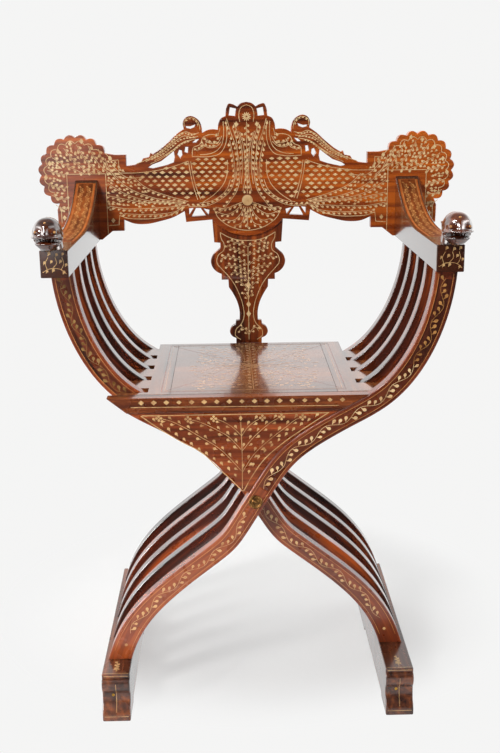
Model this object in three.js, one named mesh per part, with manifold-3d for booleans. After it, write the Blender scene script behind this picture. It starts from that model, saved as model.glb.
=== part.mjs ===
// Folding X chair with arms: ten S-shaped slats in two interleaved sets cross on one rod.
// Millimetres. +X is to the right seen from the front, +Y runs to the back, +Z is up.
// Depths are laid out from the front face of the foremost slat, at y = 0, and the whole
// chair is then shifted so that the origin is the middle of its footprint on the floor.
import * as THREE from 'three';
import { mergeVertices } from 'three/addons/utils/BufferGeometryUtils.js';
import Module from 'manifold-3d';

const wasm = await Module();
wasm.setup();

// Slats: the five of each set lie one pitch apart, and the second set lies half-way between
const SLATS_PER_SET = 5;
const SLAT_PITCH = 70;
const SLAT_THICKNESS = 20;
const SLAT_WIDTH_FOOT = 36;
const SLAT_WIDTH_WAIST = 31;
const SLAT_WIDTH_ARM = 33;
const TENON_LENGTH = 24;
const TENON_WIDTH = 20;
const TENON_THICKNESS = 12;

// Stations of a slat's centre line, from its foot through the pivot to its arm
const SLAT_FOOT_X = 221;
const CALF_X = 109;
const CALF_Z = 223;
const PIVOT_Z = 344;
const KNEE_X = 127;
const KNEE_Z = 470;
const HIP_X = 207;
const HIP_Z = 520;
const SLAT_ARM_X = 284;
const SLAT_HEADING_DEGREES = { foot: 74, calf: 38.5, pivot: 58.5, knee: 29.5, hip: 43, arm: 86 };
const SLAT_HANDLE_SHARES = [[0.35, 0.43], [0.6, 0.58], [0.45, 0.5], [0.36, 0.34], [0.3, 0.36]];

// Feet
const FOOT_CENTRE_X = 224;
const FOOT_WIDTH = 44;
const FOOT_HEIGHT = 76;
const TOE_REACH = 56;
const FOOT_REAR_REACH = 6;
const FOOT_ARCH = 7;
const TOE_PAD_LENGTH = 52;
const HEEL_PAD_LENGTH = 125;

// Arms
const ARM_CENTRE_X = 286.5;
const ARM_WIDTH = 41;
const ARM_UNDER_Z = 701;
const ARM_DEPTH = 40;
const ARM_FRONT_REACH = 12;
const ARM_REAR_RISE = 107;
const ARM_EDGE_BEVEL = 1.5;

// Carved heads at the front of the arms
const HEAD_HALF_WIDTH = 22.5;
const HEAD_HALF_LENGTH = 30;
const HEAD_HALF_HEIGHT = 25;
const HEAD_OUTSET = 3;
const HEAD_FORWARD = 20;
const MOUTH_HEIGHT = 6;
const MOUTH_DEPTH = 24;
const EYE_RADIUS = 6;
const NECK_LENGTH = 30;
const NECK_WIDTH = 34;
const HEAD_DOWEL_RADIUS = 5;
const HEAD_DOWEL_LENGTH = 28;

// Seat
const SEAT_TOP_Z = 514;
const SEAT_THICKNESS = 12;
const SEAT_OVERHANG_REAR = 14;
const SEAT_PANEL_HALF_WIDTH = 128;
const TONGUE_LENGTH = 8;
const TONGUE_THICKNESS = 4;
const NOTCH_CLEARANCE = 3.5;
const FINGER_END_X = 209;
const SLAT_SIDE_CLEARANCE = 1.5;
const RAIL_HEIGHT = 24;
const RAIL_DEPTH = 20;
const RAIL_DOWEL_COUNT = 3;
const RAIL_DOWEL_RADIUS = 3;
const RAIL_DOWEL_LENGTH = 18;
const RAIL_DOWEL_MARGIN = 18;

// Rods
const PIVOT_ROD_RADIUS = 5;
const ROSETTE_RADIUS = 11;
const ROSETTE_THICKNESS = 4;
const HINGE_ROD_RADIUS = 3;
const HINGE_X = 190;
const REST_ROD_RADIUS = 4;
const REST_X = 182;
const ROD_END_COVER = 8;
const RUNNING_CLEARANCE = 0.4;

// Apron under the seat, in the layer of the foremost slat
const APRON_THICKNESS = 16;
const APRON_SETBACK = 1;
const APRON_LEFT_MARGIN = 2;
const APRON_DOWEL_RADIUS = 3;
const APRON_DOWEL_LENGTH = 30;
const APRON_DOWEL_HEIGHT_SHARES = [0.42, 0.78];

// Crest board, splat and the pegs that hold them to the arms
const CHAIR_HEIGHT = 940;
const CREST_FRONT_Y = 385;
const CREST_THICKNESS = 16;
const CREST_HALF_WIDTH = 370;
const CREST_LOBE_SHARES = { across: 0.8216, up: 0.498, radius: 0.2594, bulge: 0.023 };
const CREST_LOBE_SCALLOPS = 11;
const CREST_LOBE_START_DEGREES = 146;
const CREST_LOBE_END_DEGREES = -58;
const CREST_BOWL_SHARES = { halfWidth: 0.173, sag: 0.1255, rise: 0.1423 };
const SPLAT_THICKNESS = 12;
const SPLAT_DROP = 197;
const SPLAT_HALF_WIDTH = 68;
const SPLAT_DOWEL_RADIUS = 3;
const SPLAT_DOWEL_LENGTH = 24;
const SPLAT_DOWEL_X = 26;
const PEG_RADIUS = 5;
const PEG_REACH = 14;
const PEG_SEAT = 10;
const PEG_RISE = 56;
const PEG_SLOT_CLEARANCE = 1;

// Fits
const JOINT_GAP = 0.3;
const BUTT_GAP = 0.5;
const CUT_OVERRUN = 5;
const EDGE_PROBE = 4;
const MERGE_TOLERANCE = 0.0001;

// Facets
const CURVE_STEPS = 12;
const STATION_STEPS = 7;
const SCALLOP_STEPS = 4;
const BOWL_STEPS = 14;
const ROD_SIDES = 20;
const PEG_SIDES = 16;
const LUMP_SIDES = 20;
const LUMP_RINGS = 12;
const EYE_SIDES = 12;
const EYE_RINGS = 8;

// Depths worked out from the sizes above
const setOffset = SLAT_PITCH / 2;
const packDepth = (SLATS_PER_SET - 1) * SLAT_PITCH + setOffset + SLAT_THICKNESS;
const seatBackY = packDepth + SEAT_OVERHANG_REAR;
const armRearY = CREST_FRONT_Y - BUTT_GAP;
const headCentreY = -ARM_FRONT_REACH - HEAD_FORWARD;
const headFrontY = headCentreY - HEAD_HALF_LENGTH;
const chairFrontY = Math.min(headFrontY, -TOE_REACH);
const chairMiddleY = (chairFrontY + CREST_FRONT_Y + CREST_THICKNESS) / 2;
const seatUnderZ = SEAT_TOP_Z - SEAT_THICKNESS;
const seatMiddleZ = SEAT_TOP_Z - SEAT_THICKNESS / 2;
const railUnderZ = SEAT_TOP_Z - RAIL_HEIGHT;
const railDowelSpacing = SEAT_PANEL_HALF_WIDTH - RAIL_DOWEL_MARGIN;
const pegZ = ARM_UNDER_Z + PEG_RISE;
const crestHeight = CHAIR_HEIGHT - ARM_UNDER_Z;
const bowlHalfWidth = CREST_HALF_WIDTH * CREST_BOWL_SHARES.halfWidth;
const bowlSag = crestHeight * CREST_BOWL_SHARES.sag;

// Finishes
const finish = (color, roughness, metalness) =>
  new THREE.MeshStandardMaterial({ color, roughness, metalness });
const ROSEWOOD = finish(0x6e2f1a, 0.28, 0);
const DARK_ROSEWOOD = finish(0x45190f, 0.3, 0);
const SEAT_WOOD = finish(0x7a3d20, 0.22, 0);
const PALE_DOWEL = finish(0xb98a5a, 0.7, 0);
const BRASS = finish(0xb08a3c, 0.35, 1);
const STEEL = finish(0x6d6a66, 0.45, 1);

// Turns a closed geometry into a solid that can be cut and joined
function solidOf(geometry) {
  const bare = geometry.index ? geometry.toNonIndexed() : geometry.clone();
  bare.deleteAttribute('normal');
  bare.deleteAttribute('uv');
  const merged = mergeVertices(bare, MERGE_TOLERANCE);
  return new wasm.Manifold(new wasm.Mesh({
    numProp: 3,
    vertProperties: new Float32Array(merged.attributes.position.array),
    triVerts: new Uint32Array(merged.index.array),
  }));
}

// Turns a solid back into a geometry
function geometryOf(solid) {
  const mesh = solid.getMesh();
  const geometry = new THREE.BufferGeometry();
  geometry.setAttribute('position', new THREE.BufferAttribute(mesh.vertProperties, 3));
  geometry.setIndex(new THREE.BufferAttribute(mesh.triVerts, 1));
  geometry.computeVertexNormals();
  return geometry;
}

const group = new THREE.Group();
group.position.y = -chairMiddleY;

// Adds one named piece to the chair
function addPiece(name, solid, material) {
  const mesh = new THREE.Mesh(geometryOf(solid), material);
  mesh.name = name;
  group.add(mesh);
}

// Cuts every tool out of a solid
function cut(solid, tools) {
  return tools.reduce((rest, tool) => rest.subtract(tool), solid);
}

// Shape through a list of Vector2 points
function shapeOf(points) {
  return new THREE.Shape(points);
}

// Board whose face is drawn in x and z and whose thickness runs from front to back
function boardAlongY(shape, frontY, thickness) {
  const geometry = new THREE.ExtrudeGeometry(shape, { depth: thickness, bevelEnabled: false });
  geometry.rotateX(Math.PI / 2);
  geometry.translate(0, frontY + thickness, 0);
  return solidOf(geometry);
}

// Rail whose section is drawn in y and z and whose length runs along x
function railAlongX(shape, centreX, width, bevel = 0) {
  const geometry = new THREE.ExtrudeGeometry(shape, {
    depth: width - 2 * bevel,
    curveSegments: CURVE_STEPS,
    bevelEnabled: bevel > 0,
    bevelThickness: bevel,
    bevelSize: bevel,
    bevelOffset: -bevel,
    bevelSegments: 1,
  });
  const turn = new THREE.Matrix4().makeBasis(
    new THREE.Vector3(0, 1, 0),
    new THREE.Vector3(0, 0, 1),
    new THREE.Vector3(1, 0, 0),
  );
  geometry.applyMatrix4(turn);
  geometry.translate(centreX - width / 2 + bevel, 0, 0);
  return solidOf(geometry);
}

// Box from its lowest to its highest corner
function block(low, high) {
  const size = high.map((value, axis) => value - low[axis]);
  const geometry = new THREE.BoxGeometry(...size);
  geometry.translate(...low.map((value, axis) => value + size[axis] / 2));
  return solidOf(geometry);
}

// Round rod along y
function rodAlongY(x, z, frontY, rearY, radius, sides = ROD_SIDES) {
  const geometry = new THREE.CylinderGeometry(radius, radius, rearY - frontY, sides);
  geometry.translate(x, (frontY + rearY) / 2, z);
  return solidOf(geometry);
}

// Round rod between two points
function rodBetween(start, end, radius, sides = PEG_SIDES) {
  const from = new THREE.Vector3(...start);
  const along = new THREE.Vector3(...end).sub(from);
  const geometry = new THREE.CylinderGeometry(radius, radius, along.length(), sides);
  geometry.translate(0, along.length() / 2, 0);
  geometry.applyQuaternion(new THREE.Quaternion().setFromUnitVectors(
    new THREE.Vector3(0, 1, 0),
    along.clone().normalize(),
  ));
  geometry.translate(from.x, from.y, from.z);
  return solidOf(geometry);
}

// Centre line of a slat that rises from its foot at the left to its arm at the right
function slatCentreLine() {
  const stations = [
    { at: [-SLAT_FOOT_X, FOOT_HEIGHT], heading: SLAT_HEADING_DEGREES.foot, width: SLAT_WIDTH_FOOT },
    { at: [-CALF_X, CALF_Z], heading: SLAT_HEADING_DEGREES.calf, width: SLAT_WIDTH_WAIST },
    { at: [0, PIVOT_Z], heading: SLAT_HEADING_DEGREES.pivot, width: SLAT_WIDTH_WAIST },
    { at: [KNEE_X, KNEE_Z], heading: SLAT_HEADING_DEGREES.knee, width: SLAT_WIDTH_WAIST },
    { at: [HIP_X, HIP_Z], heading: SLAT_HEADING_DEGREES.hip, width: SLAT_WIDTH_WAIST },
    { at: [SLAT_ARM_X, ARM_UNDER_Z], heading: SLAT_HEADING_DEGREES.arm, width: SLAT_WIDTH_ARM },
  ];
  const samples = [];
  for (let i = 0; i + 1 < stations.length; i += 1) {
    const start = new THREE.Vector2(...stations[i].at);
    const end = new THREE.Vector2(...stations[i + 1].at);
    const chord = start.distanceTo(end);
    const [leave, arrive] = SLAT_HANDLE_SHARES[i];
    const heading = (k) => THREE.MathUtils.degToRad(stations[k].heading);
    const direction = (k) => new THREE.Vector2(Math.cos(heading(k)), Math.sin(heading(k)));
    const curve = new THREE.CubicBezierCurve(
      start,
      start.clone().addScaledVector(direction(i), leave * chord),
      end.clone().addScaledVector(direction(i + 1), -arrive * chord),
      end,
    );
    const last = i + 2 === stations.length ? STATION_STEPS : STATION_STEPS - 1;
    for (let step = 0; step <= last; step += 1) {
      const t = step / STATION_STEPS;
      samples.push({
        point: curve.getPoint(t),
        tangent: curve.getTangent(t),
        width: THREE.MathUtils.lerp(stations[i].width, stations[i + 1].width, t),
      });
    }
  }
  return samples;
}

const slatSamples = slatCentreLine();

// One long edge of a slat: side is 1 for the edge that faces up and inwards, -1 for the outer edge,
// and grow widens the slat evenly
function slatEdge(side, grow = 0) {
  const overrun = SLAT_WIDTH_FOOT;
  const rows = slatSamples.map(({ point, tangent, width }) => {
    const normal = new THREE.Vector2(-tangent.y, tangent.x);
    return point.clone().addScaledVector(normal, side * (width / 2 + grow));
  });
  const first = slatSamples[0];
  const last = slatSamples[slatSamples.length - 1];
  rows.unshift(rows[0].clone().addScaledVector(first.tangent, -overrun));
  rows.push(rows[rows.length - 1].clone().addScaledVector(last.tangent, overrun));
  return rows;
}

// Part of an edge between two heights, with its ends cut level
function trimEdge(edge, lowZ, highZ) {
  const crossing = (a, b, z) => a.clone().lerp(b, (z - a.y) / (b.y - a.y));
  const kept = [];
  for (let i = 0; i < edge.length; i += 1) {
    const here = edge[i];
    const next = edge[i + 1];
    if (here.y > lowZ && here.y < highZ) {
      kept.push(here);
    }
    if (next && here.y <= lowZ && next.y > lowZ) {
      kept.push(crossing(here, next, lowZ));
    }
    if (next && here.y < highZ && next.y >= highZ) {
      kept.push(crossing(here, next, highZ));
    }
  }
  return kept;
}

// Place where an edge passes a height
function edgeX(edge, z) {
  return trimEdge(edge, z, CHAIR_HEIGHT)[0].x;
}

const innerEdge = slatEdge(1);
const outerEdge = slatEdge(-1);
const slatLowZ = FOOT_HEIGHT + JOINT_GAP;
const slatHighZ = ARM_UNDER_Z - JOINT_GAP;
const restZ = seatUnderZ - JOINT_GAP;
const hingeZ = seatMiddleZ;
const notchEndX = edgeX(innerEdge, seatUnderZ) - NOTCH_CLEARANCE;

// Tenon of a slat, or with grow the mortise that takes it
function tenon(x, frontY, lowZ, highZ, grow = 0) {
  const middleY = frontY + SLAT_THICKNESS / 2;
  return block(
    [x - TENON_WIDTH / 2 - grow, middleY - TENON_THICKNESS / 2 - grow, lowZ],
    [x + TENON_WIDTH / 2 + grow, middleY + TENON_THICKNESS / 2 + grow, highZ],
  );
}

// Foremost face of slat k of a set: 1 is the set that rises to the right, -1 the other
function slatFrontY(side, k) {
  return k * SLAT_PITCH + (side > 0 ? 0 : setOffset);
}

// One slat with its tenons and rod holes
function slat(side, k) {
  const frontY = slatFrontY(side, k);
  const outline = [
    ...trimEdge(outerEdge, slatLowZ, slatHighZ),
    ...trimEdge(innerEdge, slatLowZ, slatHighZ).reverse(),
  ].map((point) => new THREE.Vector2(side * point.x, point.y));
  const board = boardAlongY(shapeOf(outline), frontY, SLAT_THICKNESS);
  const footTenon = tenon(-side * SLAT_FOOT_X, frontY, FOOT_HEIGHT - TENON_LENGTH, slatLowZ + CUT_OVERRUN);
  const armTenon = tenon(side * SLAT_ARM_X, frontY, slatHighZ - CUT_OVERRUN, ARM_UNDER_Z + TENON_LENGTH);
  const foremost = k === 0 && side > 0;
  const hindmost = k === SLATS_PER_SET - 1;
  const holeFront = frontY + (foremost ? ROD_END_COVER - JOINT_GAP : -CUT_OVERRUN);
  const holeRear = frontY + SLAT_THICKNESS + (hindmost ? JOINT_GAP - ROD_END_COVER : CUT_OVERRUN);
  const seatRod = side > 0
    ? rodAlongY(REST_X, restZ, holeFront, holeRear, REST_ROD_RADIUS + JOINT_GAP)
    : rodAlongY(-HINGE_X, hingeZ, holeFront, holeRear, HINGE_ROD_RADIUS + JOINT_GAP);
  const pivotHole = rodAlongY(
    0,
    PIVOT_Z,
    frontY - CUT_OVERRUN,
    frontY + SLAT_THICKNESS + CUT_OVERRUN,
    PIVOT_ROD_RADIUS + RUNNING_CLEARANCE,
  );
  const dowelHoles = foremost ? apronDowelHoles : [];
  return cut(board.add(footTenon).add(armTenon), [seatRod, pivotHole, ...dowelHoles]);
}

// Mortises for one set of slats
function mortises(side, x, lowZ, highZ) {
  return Array.from({ length: SLATS_PER_SET }, (_, k) => (
    tenon(x, slatFrontY(side, k), lowZ, highZ, JOINT_GAP)
  ));
}

// Moulded toe of a foot from the floor upwards, as shares of the toe's reach and the foot's height
const TOE_SHARES = [
  [1, 0], [1, 0.12], [0.93, 0.24], [0.82, 0.38], [0.8, 0.56],
  [0.89, 0.68], [0.91, 0.8], [0.86, 0.88], [0.79, 0.91], [0.79, 1],
];
const HEEL_FLARE_SHARES = { bend: 0.33, edge: 0.16 };

// Side view of a foot: moulded toe, level top, two pads with a shallow arch between them
function footShape() {
  const rear = packDepth + FOOT_REAR_REACH;
  const toe = TOE_SHARES.map(([reach, height]) => (
    new THREE.Vector2(-reach * TOE_REACH, height * FOOT_HEIGHT)
  ));
  const shape = shapeOf(toe);
  shape.lineTo(packDepth, FOOT_HEIGHT);
  shape.quadraticCurveTo(
    packDepth,
    FOOT_HEIGHT * HEEL_FLARE_SHARES.bend,
    rear,
    FOOT_HEIGHT * HEEL_FLARE_SHARES.edge,
  );
  shape.lineTo(rear, 0);
  shape.lineTo(rear - HEEL_PAD_LENGTH, 0);
  shape.lineTo(rear - HEEL_PAD_LENGTH - FOOT_ARCH, FOOT_ARCH);
  shape.lineTo(-TOE_REACH + TOE_PAD_LENGTH + FOOT_ARCH, FOOT_ARCH);
  shape.lineTo(-TOE_REACH + TOE_PAD_LENGTH, 0);
  return shape;
}

// Foot that carries the set of slats which rise to the given side
function foot(side) {
  const solid = railAlongX(footShape(), -side * FOOT_CENTRE_X, FOOT_WIDTH);
  const lowZ = FOOT_HEIGHT - TENON_LENGTH - JOINT_GAP;
  return cut(solid, mortises(side, -side * SLAT_FOOT_X, lowZ, FOOT_HEIGHT + CUT_OVERRUN));
}

// Sweep of an arm's top, as shares of its length and of its rise towards the crest board
const ARM_SWEEP_SHARES = { start: 0.42, leave: 0.66, arrive: 0.84, arriveRise: 0.33 };

// Side view of an arm: level underside and a top that sweeps up to the crest board
function armShape() {
  const top = ARM_UNDER_Z + ARM_DEPTH;
  const rise = ARM_REAR_RISE - ARM_DEPTH;
  const length = armRearY + ARM_FRONT_REACH;
  const shape = new THREE.Shape();
  shape.moveTo(-ARM_FRONT_REACH, ARM_UNDER_Z);
  shape.lineTo(armRearY, ARM_UNDER_Z);
  shape.lineTo(armRearY, ARM_UNDER_Z + ARM_REAR_RISE);
  const along = (share) => -ARM_FRONT_REACH + length * share;
  shape.bezierCurveTo(
    along(ARM_SWEEP_SHARES.arrive),
    top + rise * ARM_SWEEP_SHARES.arriveRise,
    along(ARM_SWEEP_SHARES.leave),
    top,
    along(ARM_SWEEP_SHARES.start),
    top,
  );
  shape.lineTo(-ARM_FRONT_REACH, top);
  return shape;
}

// Direction in which a crest peg leaves an arm when the arm folds about the pivot
function pegEscape(side) {
  const radial = new THREE.Vector2(side * ARM_CENTRE_X, pegZ - PIVOT_Z).normalize();
  return new THREE.Vector2(side * radial.y, -side * radial.x);
}

// Slanting slot in the rear end of an arm, open on its outer side
function pegSlot(side) {
  const away = pegEscape(side);
  const across = new THREE.Vector2(-away.y, away.x);
  const half = PEG_RADIUS + PEG_SLOT_CLEARANCE;
  const start = new THREE.Vector2(side * ARM_CENTRE_X, pegZ);
  const corner = (along, sideways) => (
    start.clone().addScaledVector(away, along).addScaledVector(across, sideways)
  );
  const channel = shapeOf([
    corner(0, -half),
    corner(ARM_WIDTH, -half),
    corner(ARM_WIDTH, half),
    corner(0, half),
  ]);
  const frontY = armRearY - PEG_REACH - JOINT_GAP;
  const depth = PEG_REACH + JOINT_GAP + CUT_OVERRUN;
  return boardAlongY(channel, frontY, depth)
    .add(rodAlongY(start.x, start.y, frontY, frontY + depth, half, PEG_SIDES));
}

// Place of the dowel that pins a carved head to its arm
function headDowel(side, grow = 0) {
  const x = side * (ARM_CENTRE_X + HEAD_OUTSET);
  const low = ARM_UNDER_Z + ARM_DEPTH - HEAD_DOWEL_LENGTH / 2 - grow;
  return rodBetween([x, 0, low], [x, 0, low + HEAD_DOWEL_LENGTH + 2 * grow], HEAD_DOWEL_RADIUS + grow);
}

// Arm with its mortises, the slot for the crest peg and the hole for the head's dowel
function arm(side) {
  const solid = railAlongX(armShape(), side * ARM_CENTRE_X, ARM_WIDTH, ARM_EDGE_BEVEL);
  const highZ = ARM_UNDER_Z + TENON_LENGTH + JOINT_GAP;
  return cut(solid, [
    ...mortises(side, side * SLAT_ARM_X, ARM_UNDER_Z - CUT_OVERRUN, highZ),
    pegSlot(side),
    headDowel(side, JOINT_GAP),
  ]);
}

// Rounded lump with three half sizes
function lump(centre, halfSizes, sides = LUMP_SIDES, rings = LUMP_RINGS) {
  const geometry = new THREE.SphereGeometry(1, sides, rings);
  geometry.rotateX(Math.PI / 2);
  geometry.scale(...halfSizes);
  geometry.translate(...centre);
  return solidOf(geometry);
}

// Places on a carved head, as shares of its half sizes, and the neck's length as a share of its reach
const EYE_PLACE_SHARES = { across: 0.62, forward: 0.5, up: 0.5 };
const MOUTH_DROP_SHARE = 0.4;
const NECK_RISE_SHARE = 0.33;
const NECK_LENGTH_SHARE = 0.67;

// Carved beast head with an open mouth, on a neck that stands on the arm
function head(side) {
  const x = side * (ARM_CENTRE_X + HEAD_OUTSET);
  const underZ = ARM_UNDER_Z + ARM_DEPTH + JOINT_GAP;
  const middleZ = underZ + HEAD_HALF_HEIGHT + JOINT_GAP;
  const skull = lump([x, headCentreY, middleZ], [HEAD_HALF_WIDTH, HEAD_HALF_LENGTH, HEAD_HALF_HEIGHT]);
  const neck = lump(
    [x, headCentreY + NECK_LENGTH, underZ + HEAD_HALF_HEIGHT * NECK_RISE_SHARE],
    [NECK_WIDTH / 2, NECK_LENGTH * NECK_LENGTH_SHARE, HEAD_HALF_HEIGHT],
  );
  const eyes = [-1, 1].map((half) => lump(
    [
      x + half * HEAD_HALF_WIDTH * EYE_PLACE_SHARES.across,
      headCentreY - HEAD_HALF_LENGTH * EYE_PLACE_SHARES.forward,
      middleZ + HEAD_HALF_HEIGHT * EYE_PLACE_SHARES.up,
    ],
    [EYE_RADIUS, EYE_RADIUS, EYE_RADIUS],
    EYE_SIDES,
    EYE_RINGS,
  ));
  const mouthZ = middleZ - HEAD_HALF_HEIGHT * MOUTH_DROP_SHARE;
  const mouthFront = headFrontY - CUT_OVERRUN;
  const mouthShape = shapeOf([
    new THREE.Vector2(mouthFront, mouthZ - MOUTH_HEIGHT),
    new THREE.Vector2(headFrontY + MOUTH_DEPTH, mouthZ),
    new THREE.Vector2(mouthFront, mouthZ + MOUTH_HEIGHT),
  ]);
  const mouth = railAlongX(mouthShape, x, 2 * HEAD_HALF_WIDTH + CUT_OVERRUN);
  const below = block(
    [x - ARM_WIDTH, chairFrontY - CUT_OVERRUN, ARM_UNDER_Z],
    [x + ARM_WIDTH, HEAD_HALF_LENGTH + NECK_LENGTH, underZ],
  );
  return cut(skull.add(neck).add(eyes[0]).add(eyes[1]), [mouth, below, headDowel(side, JOINT_GAP)]);
}

// Depths of the notches that let one set of slats through the seat
function notchRanges(side) {
  return Array.from({ length: SLATS_PER_SET }, (_, k) => {
    const front = slatFrontY(side, k);
    return [front - SLAT_SIDE_CLEARANCE, front + SLAT_THICKNESS + SLAT_SIDE_CLEARANCE];
  });
}

// Toothed end of the seat whose fingers reach out between the slats
function seatComb(side) {
  const innerX = SEAT_PANEL_HALF_WIDTH + JOINT_GAP;
  const frontY = RAIL_DEPTH + JOINT_GAP;
  const plate = block([innerX, frontY, seatUnderZ], [FINGER_END_X, seatBackY, SEAT_TOP_Z]);
  const notches = notchRanges(side).map(([front, rear]) => block(
    [notchEndX, Math.max(front, -CUT_OVERRUN), seatUnderZ - CUT_OVERRUN],
    [FINGER_END_X + CUT_OVERRUN, rear, SEAT_TOP_Z + CUT_OVERRUN],
  ));
  const groove = block(
    [innerX - CUT_OVERRUN, frontY - CUT_OVERRUN, seatMiddleZ - TONGUE_THICKNESS / 2 - JOINT_GAP],
    [innerX + TONGUE_LENGTH, seatBackY + CUT_OVERRUN, seatMiddleZ + TONGUE_THICKNESS / 2 + JOINT_GAP],
  );
  const [rodX, rodZ, rodRadius] = side > 0
    ? [REST_X, restZ, REST_ROD_RADIUS + RUNNING_CLEARANCE]
    : [HINGE_X, hingeZ, HINGE_ROD_RADIUS + JOINT_GAP];
  const rodHole = rodAlongY(rodX, rodZ, frontY - CUT_OVERRUN, seatBackY + CUT_OVERRUN, rodRadius);
  const comb = cut(plate, [...notches, groove, rodHole]);
  return side > 0 ? comb : comb.mirror([1, 0, 0]);
}

// Middle of the seat with a tongue along each side
function seatPanel() {
  const frontY = RAIL_DEPTH + JOINT_GAP;
  const half = SEAT_PANEL_HALF_WIDTH;
  const board = block([-half, frontY, seatUnderZ], [half, seatBackY, SEAT_TOP_Z]);
  const tongue = block(
    [-half - TONGUE_LENGTH, frontY, seatMiddleZ - TONGUE_THICKNESS / 2],
    [half + TONGUE_LENGTH, seatBackY, seatMiddleZ + TONGUE_THICKNESS / 2],
  );
  return board.add(tongue);
}

// Dowels between the seat and its front rail
function railDowel(i, grow = 0) {
  const x = (i - (RAIL_DOWEL_COUNT - 1) / 2) * railDowelSpacing;
  const middleY = RAIL_DEPTH + JOINT_GAP / 2;
  const half = RAIL_DOWEL_LENGTH / 2 + grow;
  return rodAlongY(x, seatMiddleZ, middleY - half, middleY + half, RAIL_DOWEL_RADIUS + grow, PEG_SIDES);
}

const railDowelHoles = Array.from({ length: RAIL_DOWEL_COUNT }, (_, i) => railDowel(i, JOINT_GAP));

// Front rail of the seat: it passes before the left slats and stops at the foremost right one
function frontRail() {
  const leftTop = -edgeX(outerEdge, SEAT_TOP_Z);
  const leftUnder = -edgeX(outerEdge, railUnderZ);
  const rightTop = edgeX(innerEdge, SEAT_TOP_Z) - BUTT_GAP;
  const rightUnder = edgeX(innerEdge, railUnderZ) - BUTT_GAP;
  const outline = shapeOf([
    new THREE.Vector2(leftUnder, railUnderZ),
    new THREE.Vector2(rightUnder, railUnderZ),
    new THREE.Vector2(rightTop, SEAT_TOP_Z),
    new THREE.Vector2(leftTop, SEAT_TOP_Z),
  ]);
  const hinge = rodAlongY(
    -HINGE_X,
    hingeZ,
    ROD_END_COVER - JOINT_GAP,
    RAIL_DEPTH + CUT_OVERRUN,
    HINGE_ROD_RADIUS + JOINT_GAP,
  );
  return cut(boardAlongY(outline, 0, RAIL_DEPTH), [...railDowelHoles, hinge]);
}

// Edge of the apron that runs beside the foremost slat, from its tip up to the seat
const apronTopZ = railUnderZ - BUTT_GAP;
const apronRight = trimEdge(slatEdge(1, BUTT_GAP), PIVOT_Z + SLAT_WIDTH_WAIST / 2, apronTopZ);

// Dowels between the apron and the foremost slat
function apronDowel(heightShare, grow = 0) {
  const tipZ = apronRight[0].y;
  const z = tipZ + heightShare * (apronTopZ - tipZ);
  const x = edgeX(innerEdge, z);
  const nearby = edgeX(innerEdge, z + EDGE_PROBE) - x;
  const normal = new THREE.Vector2(-EDGE_PROBE, nearby).normalize();
  const half = APRON_DOWEL_LENGTH / 2 + grow;
  const y = APRON_SETBACK + APRON_THICKNESS / 2;
  return rodBetween(
    [x - normal.x * half, y, z - normal.y * half],
    [x + normal.x * half, y, z + normal.y * half],
    APRON_DOWEL_RADIUS + grow,
  );
}

const apronDowelHoles = APRON_DOWEL_HEIGHT_SHARES.map((share) => apronDowel(share, JOINT_GAP));

// Three-sided apron that hangs below the front rail
function apron() {
  const left = trimEdge(outerEdge, PIVOT_Z + SLAT_WIDTH_WAIST, apronTopZ)
    .map((point) => new THREE.Vector2(-point.x + APRON_LEFT_MARGIN, point.y));
  const tip = apronRight[0];
  const outline = [...apronRight, ...left.reverse(), new THREE.Vector2(tip.x - APRON_LEFT_MARGIN, tip.y)];
  return cut(boardAlongY(shapeOf(outline), APRON_SETBACK, APRON_THICKNESS), apronDowelHoles);
}

// Arc through a row of scallops round the end of the crest board, as points from start to end
function scallopPoints() {
  const count = CREST_LOBE_SCALLOPS * SCALLOP_STEPS;
  const span = THREE.MathUtils.degToRad(CREST_LOBE_END_DEGREES - CREST_LOBE_START_DEGREES);
  const start = THREE.MathUtils.degToRad(CREST_LOBE_START_DEGREES);
  const { across, up, radius, bulge } = CREST_LOBE_SHARES;
  const centre = crestPoint([across, up]);
  const points = [];
  for (let i = 0; i <= count; i += 1) {
    const angle = start + (span * i) / count;
    const swell = bulge * Math.sin((Math.PI * (i % SCALLOP_STEPS)) / SCALLOP_STEPS);
    const reach = crestHeight * (radius + swell);
    points.push(new THREE.Vector2(
      centre.x + reach * Math.cos(angle),
      centre.y + reach * Math.sin(angle),
    ));
  }
  return points;
}

// Points of the crest board's right half from the top of its arch to the tab beside the lobe,
// as shares of its half width and of its height above the arms' undersides
const CREST_TOP_SHARES = [
  [0, 1], [0.027, 0.99], [0.044, 0.968], [0.066, 0.985], [0.085, 0.988], [0.094, 0.965],
  [0.101, 0.9], [0.121, 0.885], [0.134, 0.85], [0.138, 0.803], [0.16, 0.807], [0.19, 0.8], [0.212, 0.782],
  [0.214, 0.825], [0.224, 0.866], [0.243, 0.892], [0.268, 0.904], [0.292, 0.89], [0.304, 0.858],
  [0.3, 0.812], [0.333, 0.777], [0.375, 0.718], [0.42, 0.662], [0.452, 0.632], [0.463, 0.641],
  [0.47, 0.611], [0.499, 0.602], [0.507, 0.58], [0.539, 0.556], [0.58, 0.548],
  [0.58, 0.63], [0.634, 0.63],
];
// The same from the lobe's foot to the bowl in the middle
const CREST_UNDER_SHARES = [
  [0.922, 0.231], [0.92, 0.103], [0.83, 0.08], [0.83, 0.002], [0.711, 0.002], [0.659, 0.066], [0.602, 0.067],
  [0.601, 0.15], [0.557, 0.122], [0.49, 0.116], [0.423, 0.136], [0.362, 0.163], [0.315, 0.2], [0.306, 0.208],
  [0.3, 0.126],
];
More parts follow.
